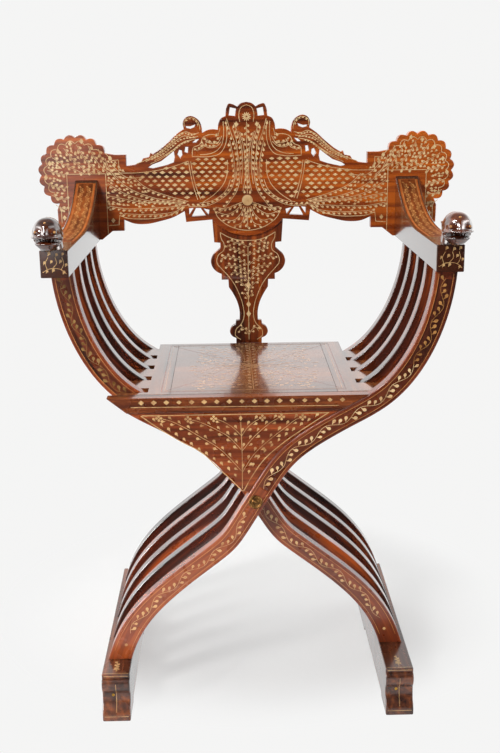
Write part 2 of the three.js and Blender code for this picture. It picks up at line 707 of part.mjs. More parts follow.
// Openings fretted through each half of the board
const CREST_OPENING_SHARES = [
  [[0.05, 0.952], [0.078, 0.962], [0.084, 0.905], [0.055, 0.9]],
  [[0.244, 0.842], [0.25, 0.823], [0.268, 0.812], [0.286, 0.818], [0.29, 0.832], [0.27, 0.829]],
  [[0.228, 0.738], [0.244, 0.733], [0.26, 0.712], [0.243, 0.713]],
  [[0.281, 0.68], [0.294, 0.682], [0.299, 0.645], [0.284, 0.637]],
  [[0.312, 0.656], [0.324, 0.661], [0.333, 0.628], [0.321, 0.603], [0.31, 0.624]],
  [[0.35, 0.652], [0.387, 0.608], [0.413, 0.579], [0.455, 0.556], [0.476, 0.534], [0.453, 0.528],
    [0.387, 0.551], [0.353, 0.57], [0.347, 0.608]],
  [[0.186, 0.216], [0.214, 0.226], [0.19, 0.178]],
  [[0.228, 0.23], [0.25, 0.23], [0.272, 0.167], [0.203, 0.174]],
  [[0.262, 0.232], [0.284, 0.228], [0.284, 0.18]],
];

// Point of the crest board from a pair of shares
function crestPoint([across, up], side = 1) {
  return new THREE.Vector2(side * across * CREST_HALF_WIDTH, ARM_UNDER_Z + up * crestHeight);
}

const bowlTopZ = ARM_UNDER_Z + crestHeight * CREST_BOWL_SHARES.rise;
const bowlRadius = (bowlHalfWidth ** 2 + bowlSag ** 2) / (2 * bowlSag);
const bowlCentreZ = bowlTopZ - bowlSag + bowlRadius;

// Arc along the bowl from one side to the other, grown outwards by a gap
function bowlArc(grow) {
  const radius = bowlRadius + grow;
  const sweep = Math.asin(bowlHalfWidth / radius);
  return Array.from({ length: BOWL_STEPS + 1 }, (_, i) => {
    const angle = sweep - (2 * sweep * i) / BOWL_STEPS;
    return new THREE.Vector2(radius * Math.sin(angle), bowlCentreZ - radius * Math.cos(angle));
  });
}

// Dowels between the crest board and the splat
function splatDowel(side, grow = 0) {
  const x = side * SPLAT_DOWEL_X;
  const jointZ = bowlCentreZ - Math.sqrt(bowlRadius ** 2 - x ** 2);
  const y = CREST_FRONT_Y + CREST_THICKNESS - SPLAT_THICKNESS / 2;
  const half = SPLAT_DOWEL_LENGTH / 2 + grow;
  return rodBetween([x, y, jointZ - half], [x, y, jointZ + half], SPLAT_DOWEL_RADIUS + grow);
}

// Peg that hangs the crest board on an arm
function crestPeg(side, grow = 0) {
  const frontY = CREST_FRONT_Y - (grow > 0 ? CUT_OVERRUN : PEG_REACH);
  const rearY = CREST_FRONT_Y + PEG_SEAT + grow;
  return rodAlongY(side * ARM_CENTRE_X, pegZ, frontY, rearY, PEG_RADIUS + grow, PEG_SIDES);
}

const splatDowelHoles = [-1, 1].map((side) => splatDowel(side, JOINT_GAP));
const pegHoles = [-1, 1].map((side) => crestPeg(side, JOINT_GAP));

// Fretted crest board
function crestBoard() {
  const right = [
    ...CREST_TOP_SHARES.map((pair) => crestPoint(pair)),
    ...scallopPoints(),
    ...CREST_UNDER_SHARES.map((pair) => crestPoint(pair)),
  ];
  const left = right.slice(1).map((point) => new THREE.Vector2(-point.x, point.y)).reverse();
  const outline = shapeOf([...right, ...bowlArc(0), ...left].reverse());
  [1, -1].forEach((side) => CREST_OPENING_SHARES.forEach((opening) => {
    outline.holes.push(new THREE.Path(opening.map((pair) => crestPoint(pair, side))));
  }));
  return cut(boardAlongY(outline, CREST_FRONT_Y, CREST_THICKNESS), [...splatDowelHoles, ...pegHoles]);
}

// Points of the splat's right edge from the crest board downwards,
// as shares of its half width and of its drop below the arms' undersides
const SPLAT_EDGE_SHARES = [
  [0.9, -0.04], [0.74, -0.045], [0.74, -0.09], [0.82, -0.115], [0.95, -0.16], [1, -0.21], [0.96, -0.27],
  [0.82, -0.32], [0.72, -0.335], [0.72, -0.39], [0.54, -0.39], [0.53, -0.46], [0.42, -0.52], [0.31, -0.6],
  [0.25, -0.69], [0.25, -0.775], [0.35, -0.78], [0.36, -0.815], [0.47, -0.84], [0.52, -0.885], [0.46, -0.93],
  [0.35, -0.95], [0.35, -1],
];

// Shaped splat hung under the crest board
function splat() {
  const right = SPLAT_EDGE_SHARES.map(([across, down]) => (
    new THREE.Vector2(across * SPLAT_HALF_WIDTH, ARM_UNDER_Z + down * SPLAT_DROP)
  ));
  const left = right.map((point) => new THREE.Vector2(-point.x, point.y)).reverse();
  const top = bowlArc(JOINT_GAP).reverse();
  const frontY = CREST_FRONT_Y + CREST_THICKNESS - SPLAT_THICKNESS;
  return cut(boardAlongY(shapeOf([...top, ...right, ...left]), frontY, SPLAT_THICKNESS), splatDowelHoles);
}

// Profile of a rosette from its back to its crown, as shares of its radius and thickness
const ROSETTE_SHARES = [[0, 0], [1, 0], [1, 0.3], [0.8, 0.65], [0.45, 0.75], [0.35, 1], [0, 1]];

// Round boss on an end of the pivot rod, domed on its outer face
function rosette(outwards) {
  const profile = ROSETTE_SHARES.map(([out, high]) => (
    new THREE.Vector2(out * ROSETTE_RADIUS, high * ROSETTE_THICKNESS)
  ));
  const geometry = new THREE.LatheGeometry(profile, ROD_SIDES);
  const faceY = outwards < 0 ? -JOINT_GAP : packDepth + JOINT_GAP;
  if (outwards < 0) {
    geometry.rotateX(Math.PI);
  }
  geometry.translate(0, faceY, PIVOT_Z);
  return solidOf(geometry);
}

// Slats of both sets, counted from the front
[[1, 'right'], [-1, 'left']].forEach(([side, name]) => {
  for (let k = 0; k < SLATS_PER_SET; k += 1) {
    addPiece(`${name}_slat_${k + 1}`, slat(side, k), ROSEWOOD);
  }
  addPiece(`${name}_arm`, arm(side), ROSEWOOD);
  addPiece(`${name}_arm_head`, head(side), DARK_ROSEWOOD);
  addPiece(`${name}_head_dowel`, headDowel(side), PALE_DOWEL);
  addPiece(`${name}_crest_peg`, crestPeg(side), BRASS);
  addPiece(`${name}_splat_dowel`, splatDowel(side), PALE_DOWEL);
});

// The slats that rise to the right stand in the left foot, and the others in the right foot
addPiece('left_foot', foot(1), ROSEWOOD);
addPiece('right_foot', foot(-1), ROSEWOOD);

addPiece('pivot_rod', rodAlongY(0, PIVOT_Z, 0, packDepth, PIVOT_ROD_RADIUS), STEEL);
addPiece('front_rosette', rosette(-1), BRASS);
addPiece('rear_rosette', rosette(1), BRASS);

const lastFrontY = (side) => slatFrontY(side, SLATS_PER_SET - 1);
const rodRearY = (side) => lastFrontY(side) + SLAT_THICKNESS - ROD_END_COVER;
addPiece('seat_hinge_rod', rodAlongY(-HINGE_X, hingeZ, ROD_END_COVER, rodRearY(-1), HINGE_ROD_RADIUS), STEEL);
addPiece('seat_rest_rod', rodAlongY(REST_X, restZ, ROD_END_COVER, rodRearY(1), REST_ROD_RADIUS), STEEL);

addPiece('seat_panel', cut(seatPanel(), railDowelHoles), SEAT_WOOD);
addPiece('seat_right_comb', seatComb(1), SEAT_WOOD);
addPiece('seat_left_comb', seatComb(-1), SEAT_WOOD);
addPiece('seat_front_rail', frontRail(), ROSEWOOD);
for (let i = 0; i < RAIL_DOWEL_COUNT; i += 1) {
  addPiece(`rail_dowel_${i + 1}`, railDowel(i), PALE_DOWEL);
}

addPiece('apron', apron(), ROSEWOOD);
APRON_DOWEL_HEIGHT_SHARES.forEach((share, i) => {
  addPiece(`apron_dowel_${i + 1}`, apronDowel(share), PALE_DOWEL);
});

addPiece('crest_board', crestBoard(), ROSEWOOD);
addPiece('splat', splat(), ROSEWOOD);

export default group;
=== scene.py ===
"""Looks of the folding X chair: carved and inlaid rosewood, brass and iron over the chair's fixed frame.

Sizes are in millimetres in the chair's own frame, with x to the right seen from the front, y to the
back and z up. They become metres where a mesh is made.
"""
import logging
import math
from dataclasses import dataclass, field
from enum import Enum
from functools import lru_cache
from typing import Callable, Sequence

import bpy
import numpy as np
from mathutils import Matrix, Vector
from mathutils.geometry import tessellate_polygon


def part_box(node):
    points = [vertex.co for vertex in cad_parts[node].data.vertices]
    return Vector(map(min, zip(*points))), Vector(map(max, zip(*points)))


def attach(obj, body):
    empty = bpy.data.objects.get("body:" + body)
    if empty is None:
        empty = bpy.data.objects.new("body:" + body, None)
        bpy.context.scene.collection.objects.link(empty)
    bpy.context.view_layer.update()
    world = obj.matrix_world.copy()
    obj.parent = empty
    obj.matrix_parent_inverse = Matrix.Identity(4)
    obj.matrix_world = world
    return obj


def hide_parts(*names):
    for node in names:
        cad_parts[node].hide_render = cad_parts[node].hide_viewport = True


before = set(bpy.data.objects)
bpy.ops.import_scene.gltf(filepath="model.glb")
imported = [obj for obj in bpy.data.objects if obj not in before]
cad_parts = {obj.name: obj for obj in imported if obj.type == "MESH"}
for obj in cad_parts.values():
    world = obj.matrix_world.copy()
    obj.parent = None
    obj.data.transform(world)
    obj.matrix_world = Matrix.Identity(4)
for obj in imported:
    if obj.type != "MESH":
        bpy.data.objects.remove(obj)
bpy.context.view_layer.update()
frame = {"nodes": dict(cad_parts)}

MM = 0.001
INLAY_PROUD, THIN_PROUD, BAND_PROUD = 0.12, 0.1, 0.03
INLAY_SUNK, INLAY_SPREAD = 0.5, 0.08
LINE_WIDTH = 1.1
SMOOTH_STEP, FINE_STEP = 2.0, 1.6
CREASE = 34.0
PIVOT_HEIGHT = 344.0
BACK_BASE = 701.0
ACROSS, UP = np.eye(2)
LEAF_PLACES = np.array([0.0, 0.22, 0.42, 0.58, 0.76, 0.92, 1.0])[:, None]
LEAF_WIDTHS = np.array([0.14, 0.22, 0.5, 0.94, 1.0, 0.66, 0.14])
PETAL_PLACES = np.array([0.18, 0.4, 0.66, 0.88, 1.0])[:, None]
PETAL_WIDTHS = np.array([0.3, 0.9, 1.25, 0.9, 0.3])

Points = np.ndarray
Colour = tuple[float, float, float]
Grain = Callable[[Points], Points]
log = logging.getLogger("chair")
chance = np.random.default_rng(11)


def box_mm(node: str) -> Points:
    """Lowest and highest corner of a solid, in millimetres."""
    return np.array(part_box(node)) / MM


def bell_curve(where: Points, width: float) -> Points:
    """exp(-(x / width)^2)."""
    return np.exp(-((where / width) ** 2))


def unit(vectors: Points) -> Points:
    """Vectors divided by their lengths."""
    return vectors / np.maximum(np.linalg.norm(vectors, axis=-1, keepdims=True), 1e-12)


def turned(vectors: Points) -> Points:
    """Flat vectors turned a quarter turn to the left."""
    return np.stack([-vectors[..., 1], vectors[..., 0]], axis=-1)


def flipped(points: Sequence, side: float = -1.0) -> Points:
    """Flat points with their first coordinate times 1 or -1."""
    return np.asarray(points, float) * np.array([side, 1])


def paired(*columns: Points | float) -> Points:
    """Numbers side by side, as coordinates of points."""
    return np.stack(np.broadcast_arrays(*columns), axis=-1)


def cross(first: Points, second: Points) -> Points:
    """x1 * y2 - y1 * x2, which is positive where the second vector is to the left of the first."""
    return first[..., 0] * second[..., 1] - first[..., 1] * second[..., 0]


def stations_of(path: Points) -> Points:
    """Length along a path at each of its points: the running sum of its steps."""
    return np.concatenate([[0], np.cumsum(np.linalg.norm(np.diff(path, axis=0), axis=1))])


def read_off(rows: Points, stations: Points, wanted: Points) -> Points:
    """Rows read off at other stations, in a straight line between the given ones."""
    return np.stack([np.interp(wanted, stations, column) for column in rows.T], axis=-1)


def cubic(a: Points, b: Points, c: Points, d: Points, t: Points) -> Points:
    """(1 - t)^3 a + 3 (1 - t)^2 t b + 3 (1 - t) t^2 c + t^3 d."""
    return (1 - t) ** 3 * a + 3 * (1 - t) ** 2 * t * b + 3 * (1 - t) * t**2 * c + t**3 * d


def smooth(points: Sequence, step: float = SMOOTH_STEP) -> Points:
    """A cubic between each two points, with slopes taken from the chords on both sides.

    Between stations a and b, with t from 0 to 1 and L = b - a, the point is
    (2t^3 - 3t^2 + 1) p + (t^3 - 2t^2 + t) L m + (3t^2 - 2t^3) q + (t^3 - t^2) L n.

    Args:
        points: Points that the line passes.
        step: Distance between the points made.

    Returns:
        The points of the smooth line, its two ends among them.
    """
    given = np.asarray(points, float)
    stations = stations_of(given)
    slopes = np.gradient(given, stations, axis=0)
    wanted = np.linspace(0, stations[-1], max(3, int(stations[-1] / step) + 2))
    span = np.clip(np.searchsorted(stations, wanted, side="right") - 1, 0, len(given) - 2)
    length = (stations[span + 1] - stations[span])[:, None]
    t = (wanted - stations[span])[:, None] / length
    start = (2 * t**3 - 3 * t**2 + 1) * given[span] + (t**3 - 2 * t**2 + t) * length * slopes[span]
    end = (3 * t**2 - 2 * t**3) * given[span + 1] + (t**3 - t**2) * length * slopes[span + 1]
    return start + end


def evenly(path: Points, spacing: float, inset: float = 0.0) -> tuple[Points, Points]:
    """Points at even distances along a path, read off at shares of its length.

    Args:
        path: Points of the path.
        spacing: Wanted distance, which is rounded so that it divides the length.
        inset: Length left out at both ends.

    Returns:
        The points and the unit tangents there.
    """
    stations = stations_of(path)
    total = stations[-1] - 2 * inset
    count = max(2, int(round(total / spacing)) + 1)
    points = read_off(path, stations, inset + np.linspace(0, total, count))
    return points, unit(np.gradient(points, axis=0))


def arc(centre: Sequence[float], radius: float, start: float, end: float, count: int) -> Points:
    """Points centre + radius * (cos a, sin a) for a from start to end, in degrees."""
    a = np.radians(np.linspace(start, end, count))
    return np.asarray(centre, float) + radius * paired(np.cos(a), np.sin(a))


def full_turn(count: int) -> Points:
    """Angles of a full turn from behind, as a row."""
    return np.linspace(-math.pi, math.pi, count, endpoint=False)[None, :]


def joined(runs: Sequence[Points], closed: bool = True) -> Points:
    """One line from runs whose ends meet, with each meeting point kept once.

    Args:
        runs: Lines in order.
        closed: Whether the end meets the start.

    Returns:
        The line's points.
    """
    points = np.concatenate([np.asarray(run, float) for run in runs])
    apart = np.linalg.norm(points - np.roll(points, 1, axis=0), axis=1) > 0.05
    apart[0] |= not closed
    return points[apart]


def inside(points: Points, loop: Points) -> np.ndarray:
    """Whether each point lies in a loop: a ray to the right crosses its edges an odd number of times.

    Args:
        points: Points to test.
        loop: Closed outline.

    Returns:
        True or False for each point.
    """
    x, y = points[..., :1], points[..., 1:2]
    (ax, ay), (bx, by) = loop.T, np.roll(loop, -1, axis=0).T
    rise = np.where(np.abs(by - ay) < 1e-9, 1e-9, by - ay)
    crossing = ax + (y - ay) * (bx - ax) / rise
    return np.sum(((ay > y) != (by > y)) & (x < crossing), axis=-1) % 2 == 1


def offset_loop(loop: Points, inset: float) -> Points:
    """A loop moved inwards: point - inset * (n1 + n2) / (1 + n1 . n2) with its edges' outward normals.

    Args:
        loop: Outline that turns left.
        inset: Distance between the old edges and the new ones.

    Returns:
        The moved points.
    """
    normals = -turned(unit(np.roll(loop, -1, axis=0) - loop))
    before = np.roll(normals, 1, axis=0)
    share = 1 + np.sum(normals * before, axis=-1, keepdims=True)
    return loop - inset * (normals + before) / np.maximum(share, 0.6)


def srgb(colour: Colour) -> Colour:
    """Linear colour of a display colour given from 0 to 255."""
    shares = (value / 255 for value in colour)
    return tuple(s / 12.92 if s <= 0.04045 else ((s + 0.055) / 1.055) ** 2.4 for s in shares)


class Facing(Enum):
    """Which way a flat face looks: its across, up and inward directions."""

    FRONT = ((1, 0, 0), (0, 0, 1), (0, 1, 0))
    RIGHT = ((0, 1, 0), (0, 0, 1), (-1, 0, 0))
    TOP = ((1, 0, 0), (0, 1, 0), (0, 0, -1))

    def axes(self) -> Points:
        """The three directions, one in each row."""
        return np.array(self.value, float)


@dataclass(frozen=True)
class Plane:
    """A flat face.

    Args:
        facing: Which way it looks.
        at: Its place along its own axis.
    """

    facing: Facing
    at: float

    @classmethod
    def of(cls, node: str, facing: Facing) -> "Plane":
        """The face of a solid's box that looks a given way."""
        inward, (low, high) = facing.axes()[2], box_mm(node)
        return cls(facing, float((low if inward.sum() > 0 else high) @ np.abs(inward)))

    def place(self, flat: Points, depth: Points | float) -> Points:
        """Point = u * across + v * up + at * |inward| + depth * inward.

        Args:
            flat: Pairs (u, v) in the face.
            depth: How far below the face each point lies.

        Returns:
            Points in space.
        """
        across, up, inward = self.facing.axes()
        deep = np.broadcast_to(depth, flat.shape[:-1])[..., None]
        return flat[..., :1] * across + flat[..., 1:2] * up + np.abs(inward) * self.at + deep * inward


@dataclass(frozen=True)
class SweptTop:
    """The top of a rail whose height changes along y.

    Args:
        line: Pairs (y, z) of the top from front to back.
    """

    line: Points

    def place(self, flat: Points, depth: Points | float) -> Points:
        """Point = (u, y(v), z(v)) - depth * normal(v), where v is the length along the line.

        Args:
            flat: Pairs (x, length along the top).
            depth: How far below the top each point lies.

        Returns:
            Points in space.
        """
        stations, along = stations_of(self.line), flat[..., 1]
        slope = read_off(unit(np.gradient(self.line, stations, axis=0)), stations, along)
        deep = np.broadcast_to(depth, along.shape)[..., None]
        side_view = read_off(self.line, stations, along) - deep * turned(slope)
        return np.concatenate([flat[..., :1], side_view], axis=-1)


@dataclass(frozen=True)
class Value:
    """One output of a node, which takes part in sums and products.

    Args:
        paint: Tree that the node belongs to.
        made: The node.
        key: Name or number of the output.
    """

    paint: "Paint"
    made: bpy.types.Node
    key: str | int = 0

    def __getitem__(self, key: str | int) -> "Value":
        """Another output of the same node."""
        return Value(self.paint, self.made, key)

    def _math(self, operation: str, first: "Value | float", second: "Value | float") -> "Value":
        """A Math node on two values."""
        return self.paint.node("Math", {0: first, 1: second}, operation=operation)

    def __add__(self, other: "Value | float") -> "Value":
        """The sum."""
        return self._math("ADD", self, other)

    def __sub__(self, other: "Value | float") -> "Value":
        """The difference."""
        return self._math("SUBTRACT", self, other)

    def __rsub__(self, other: float) -> "Value":
        """The difference with a number on the left."""
        return self._math("SUBTRACT", other, self)

    def __mul__(self, other: "Value | float") -> "Value":
        """The product."""
        return self._math("MULTIPLY", self, other)

    __radd__, __rmul__ = __add__, __mul__


class Paint:
    """The node tree of a material or of the world, with one method that makes every node."""

    def __init__(self, holder: bpy.types.Material | bpy.types.World) -> None:
        """Empties the holder's tree.

        Args:
            holder: Material or world whose nodes are made.
        """
        holder.use_nodes = True
        self.tree = holder.node_tree
        self.tree.nodes.clear()

    def node(self, kind: str, inputs: dict | None = None, **settings: object) -> Value:
        """Makes a node, sets it and feeds it.

        Args:
            kind: Type name of the node, less its first word ShaderNode.
            inputs: Numbers, colours or values for its sockets, by name or number.
            settings: Properties set first. The one named stops holds a ramp's places and colours.

        Returns:
            Its first output.
        """
        made = self.tree.nodes.new(f"ShaderNode{kind}")
        for number, (place, colour) in enumerate(settings.pop("stops", ())):
            stops = made.color_ramp.elements
            stop = stops[number] if number < len(stops) else stops.new(1)
            stop.position, stop.color = place, (*colour, 1)
        for key, value in settings.items():
            setattr(made, key, value)
        for key, value in (inputs or {}).items():
            if isinstance(value, Value):
                self.tree.links.new(value.made.outputs[value.key], made.inputs[key])
            else:
                made.inputs[key].default_value = value
        return Value(self, made)

    def step(self, value: Value, low: float, high: float) -> Value:
        """0 below low, 1 above high and a smooth step between."""
        ends = {"Value": value, "From Min": low, "From Max": high}
        return self.node("MapRange", ends, interpolation_type="SMOOTHSTEP")

    def mix(self, factor: Value | float, first: Value | Colour, second: Value | Colour) -> Value:
        """Colours mixed by a factor: first at 0 and second at 1."""
        ends = [one if isinstance(one, Value) else (*one, 1) for one in (first, second)]
        return self.node("Mix", {0: factor, 6: ends[0], 7: ends[1]}, data_type="RGBA")[2]

    def noise(self, where: Value, scale: float, detail: float = 4.0, rough: float = 0.55) -> Value:
        """Noise from 0 to 1 at a place."""
        sizes = {"Vector": where, "Scale": scale, "Detail": detail, "Roughness": rough}
        return self.node("TexNoise", sizes)

    def bump(self, height: Value, strength: float, distance: float) -> Value:
        """A normal that rises and falls with a height."""
        return self.node("Bump", {"Height": height, "Strength": strength, "Distance": distance})


class Pattern(Enum):
    """Where a finish reads its pattern: along the board's own grain, or by place."""

    GRAIN = ("Attribute", {"attribute_name": "grain"}, "Vector")
    PLACE = ("TexCoord", {}, "Object")

    def read(self, paint: Paint) -> Value:
        """The coordinates as a value."""
        kind, settings, output = self.value
        return paint.node(kind, **settings)[output]


@dataclass(frozen=True)
class Finish:
    """What every finish has. Colours are display colours from 0 to 255.

    Args:
        name: Its name.
        slot: Slot of the record that it belongs to; not used.
    """

    name: str
    slot: str

    def sockets(self, paint: Paint) -> dict:
        """Numbers and values for the sockets of the surface shader."""
        raise NotImplementedError


@dataclass(frozen=True)
class Wood(Finish):
    """Lacquered wood with streaks, pores and a polish that is a little uneven.

    Args:
        dark: Colour of the dark streaks.
        middle: Colour between them.
        light: Colour of the pale streaks.
        gloss: Roughness of the polish.
        coat: Weight of the lacquer.
        pattern: Where the grain is read.
        relief: Strength of the bump of streaks and pores.
        shine: Reflection of the wood below the lacquer.
        noises: Scales along and across the grain, detail and roughness of streaks, broad tint and pores.
    """

    dark: Colour
    middle: Colour
    light: Colour
    gloss: float = 0.26
    coat: float = 0.5
    pattern: Pattern = Pattern.GRAIN
    relief: float = 0.14
    shine: float = 0.5
    noises: tuple = ((5, 95, 6, 0.62), (3, 17, 2, 0.5), (30, 850, 3, 0.6))

    def sockets(self, paint: Paint) -> dict:
        """Colour = ramp(streaks + broad tint), darkened by pores; bump from streaks and pores.

        Each noise is stretched along the grain: its scale along is far below its scale across.

        Args:
            paint: Tree that takes the nodes.

        Returns:
            Numbers and values by socket.
        """
        where = self.pattern.read(paint)
        noises = []
        for along, across, *rest in self.noises:
            stretched = paint.node("Mapping", {"Vector": where, "Scale": (along, across, across)})
            noises.append(paint.noise(stretched, 1, *rest))
        streaks, broad, fine = noises
        pores = paint.step(fine, 0.60, 0.72)
        dark, middle, light = (srgb(colour) for colour in (self.dark, self.middle, self.light))
        stops = [(0.36, dark), (0.5, middle), (0.64, light)]
        colour = paint.node("ValToRGB", {"Fac": streaks * 0.62 + broad * 0.5 - 0.06}, stops=stops)
        return {
            "Base Color": paint.mix(pores * 0.55, colour, dark),
            "Roughness": paint.noise(where, 22, 3, 0.6) * 0.16 + (self.gloss - 0.06),
            "Normal": paint.bump(streaks * 0.5 - pores * 0.6, self.relief, 0.0004),
            "Specular IOR Level": self.shine,
            "Coat Weight": self.coat,
            "Coat Roughness": 0.09,
        }


@dataclass(frozen=True)
class Bone(Finish):
    """Pale inlay with a slightly cloudy tone.

    Args:
        pale: Its usual colour.
        stained: Its colour where it has darkened.
        coat: Weight of the lacquer.
        shine: Reflection below the lacquer.
    """

    pale: Colour
    stained: Colour
    coat: float = 0.4
    shine: float = 0.5

    def sockets(self, paint: Paint) -> dict:
        """Colour = pale mixed with stained by two noises, one broad and one fine.

        Args:
            paint: Tree that takes the nodes.

        Returns:
            Numbers and values by socket.
        """
        where = Pattern.PLACE.read(paint)
        broad = paint.step(paint.noise(where, 45, 2), 0.42, 0.68)
        fine = paint.step(paint.noise(where, 210, 2), 0.45, 0.75)
        return {
            "Base Color": paint.mix(broad * 0.6 + fine * 0.35, srgb(self.pale), srgb(self.stained)),
            "Roughness": fine * 0.2 + 0.3,
            "Specular IOR Level": self.shine,
            "Coat Weight": self.coat,
            "Coat Roughness": 0.1,
        }


@dataclass(frozen=True)
class Metal(Finish):
    """Worn metal, darker and duller where a noise marks tarnish, with uneven polish.

    Args:
        bright: Colour of the polished places.
        dull: Colour of the tarnished ones.
        gloss: Roughness of the polished places.
    """

    bright: Colour
    dull: Colour
    gloss: float

    def sockets(self, paint: Paint) -> dict:
        """Colour = bright mixed with dull by noise; roughness rises with the same tarnish.

        Args:
            paint: Tree that takes the nodes.

        Returns:
            Numbers and values by socket.
        """
        where = Pattern.PLACE.read(paint)
        tarnish = paint.step(paint.noise(where, 160, 4, 0.65), 0.38, 0.66)
        return {
            "Base Color": paint.mix(tarnish, srgb(self.bright), srgb(self.dull)),
            "Roughness": tarnish * 0.25 + self.gloss,
            "Metallic": 1,
            "Normal": paint.bump(paint.noise(where, 900, 3), 0.15, 0.0002),
        }


# The rear slats' wood is darker than the foremost slat's wood below it. It is partly the wood's own tone and
# partly painted shade of the narrow gaps where the slats shadow each other. The foremost slat's wood is the
# lit copy.
SHADED_REAR_SLAT_WOOD = Wood("rosewood", "rosewood", (24, 7, 3), (70, 24, 9), (158, 70, 24), coat=1.0)
FRONT_WOOD = Wood("front_rosewood", "rosewood", (52, 20, 10), (114, 48, 22), (158, 78, 34))
RAIL_WOOD = Wood("rail_rosewood", "rosewood", (38, 17, 8), (88, 39, 17), (146, 74, 30))
CREST_WOOD = Wood("crest_rosewood", "rosewood", (68, 23, 3), (136, 56, 7), (192, 94, 20))
SPLAT_WOOD = Wood("splat_rosewood", "rosewood", (56, 20, 6), (116, 48, 12), (180, 88, 26))
# A darker copy of the band's wood for the right slat set: painted shade on the upper part of that set's
# front slat.
SHADED_BAND_WOOD = Wood("shaded_band_rosewood", "rosewood", (24, 10, 5), (66, 26, 11), (104, 44, 20))
BAND_WOOD = Wood("band_rosewood", "rosewood", (50, 20, 9), (106, 44, 18), (140, 63, 27))
ARM_BAND = Wood("arm_band", "rosewood", (58, 26, 12), (106, 51, 21), (144, 75, 32), 0.5, 0.0, shine=0.06)
ARM_WOOD = Wood("arm_rosewood", "rosewood", (24, 9, 5), (62, 27, 11), (124, 60, 20), 0.18, 1.0)
APRON_WOOD = Wood("apron_rosewood", "rosewood", (50, 19, 8), (110, 46, 17), (156, 72, 28))
FOOT_WOOD = Wood("foot_rosewood", "rosewood", (36, 17, 12), (80, 43, 28), (134, 72, 36))
HEAD_WOOD = Wood(
    "head_rosewood", "dark_rosewood", (26, 10, 6), (70, 30, 14), (116, 56, 22), 0.16, 1.0, Pattern.PLACE
)
SEAT_WOOD = Wood(
    "seat_rosewood", "seat_wood", (54, 26, 12), (104, 56, 27), (138, 80, 41), 0.2, 0.8, relief=0.3
)
DOWEL_WOOD = Wood(
    "dowel_wood", "dowel_wood", (150, 112, 70), (196, 156, 106), (214, 180, 134), 0.6, 0.0, Pattern.PLACE
)
BONE = Bone("bone_inlay", "rosewood", (222, 192, 142), (180, 132, 78))
DIM_BONE = Bone("dim_bone_inlay", "rosewood", (196, 160, 108), (142, 96, 52))
# Matt dim bone for the arms' inlay, and for the right slat set's top vine, where the dimness is painted
# shade.
WORN_AND_SHADED_BONE = Bone("worn_and_shaded_bone_inlay", "rosewood", (176, 126, 72), (118, 74, 36), 0.0, 0.06)
DULL_BONE = Bone("dull_bone_inlay", "rosewood", (138, 108, 66), (92, 62, 34), 0.0, 0.06)
SEAT_BONE = Bone("seat_bone", "seat_wood", (160, 116, 76), (120, 80, 48), 0.9)
OCHRE_EDGE = Bone("ochre_edge", "rosewood", (160, 84, 36), (118, 56, 22), 0.0, 0.06)
OCHRE = Bone("ochre_inlay", "rosewood", (184, 124, 66), (146, 84, 38))
AMBER = Bone("amber_bead", "dark_rosewood", (196, 140, 70), (120, 72, 34))
BRASS = Metal("worn_brass", "brass", (168, 134, 78), (70, 48, 26), 0.3)
BRONZE = Metal("dark_bronze", "brass", (146, 104, 58), (52, 34, 20), 0.36)
GILT = Metal("bright_pin", "brass", (226, 184, 84), (168, 122, 44), 0.25)
IRON = Metal("dulled_iron", "iron", (120, 116, 112), (64, 58, 54), 0.42)


@lru_cache(maxsize=None)
def material_of(finish: Finish) -> bpy.types.Material:
    """The material of a finish, made once: the finish feeds one surface shader.

    Args:
        finish: The finish.

    Returns:
        Its material.
    """
    material = bpy.data.materials.new(finish.name)
    paint = Paint(material)
    surface = paint.node("BsdfPrincipled", finish.sockets(paint))
    paint.node("OutputMaterial", {"Surface": surface})
    return material


def mesh_of(name: str, points: Points, faces: Sequence[np.ndarray]) -> bpy.types.Mesh:
    """A mesh in metres from points in millimetres and arrays of faces.

    Args:
        name: Its name.
        points: Corners.
        faces: Arrays of corner numbers, one array for each number of corners.

    Returns:
        The mesh.
    """
    mesh = bpy.data.meshes.new(name)
    mesh.from_pydata((points * MM).tolist(), [], [face for block in faces for face in block.tolist()])
    return mesh


def placed(name: str, data: bpy.types.ID) -> bpy.types.Object:
    """A new object of the scene that shows some data.

    Args:
        name: Its name.
        data: Mesh, lamp or camera.

    Returns:
        The object.
    """
    thing = bpy.data.objects.new(name, data)
    bpy.context.scene.collection.objects.link(thing)
    return thing


def make_piece(
    name: str, points: Points, faces: Sequence[np.ndarray], body: str, finish: Finish,
    normals: Points | None = None, grain: Points | None = None, node: str = "",
) -> bpy.types.Object:
    """Makes one piece of the chair from arrays and lets it ride on its body.

    Args:
        name: Name of the piece.
        points: Corners, in millimetres.
        faces: Arrays of corner numbers, one array for each number of corners.
        body: Body that it moves with.
        finish: Its finish.
        normals: One normal for each corner of each face, in order, or none for flat faces.
        grain: Grain coordinates of the points, or none.
        node: Solid that it stands for, if any.

    Returns:
        The object.
    """
    mesh = mesh_of(name, points, faces)
    if normals is not None:
        mesh.polygons.foreach_set("use_smooth", np.ones(len(mesh.polygons), bool))
        mesh.normals_split_custom_set(normals.reshape(-1, 3).tolist())
    if grain is not None:
        attribute = mesh.attributes.new("grain", "FLOAT_VECTOR", "POINT")
        attribute.data.foreach_set("vector", (grain * MM).astype(np.float32).ravel())
    mesh.materials.append(material_of(finish))
    mesh.update()
    piece = placed(name, mesh)
    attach(piece, body)
    if node:
        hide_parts(node)
    log.info("%s: %d faces on %s", name, len(mesh.polygons), body)
    return piece


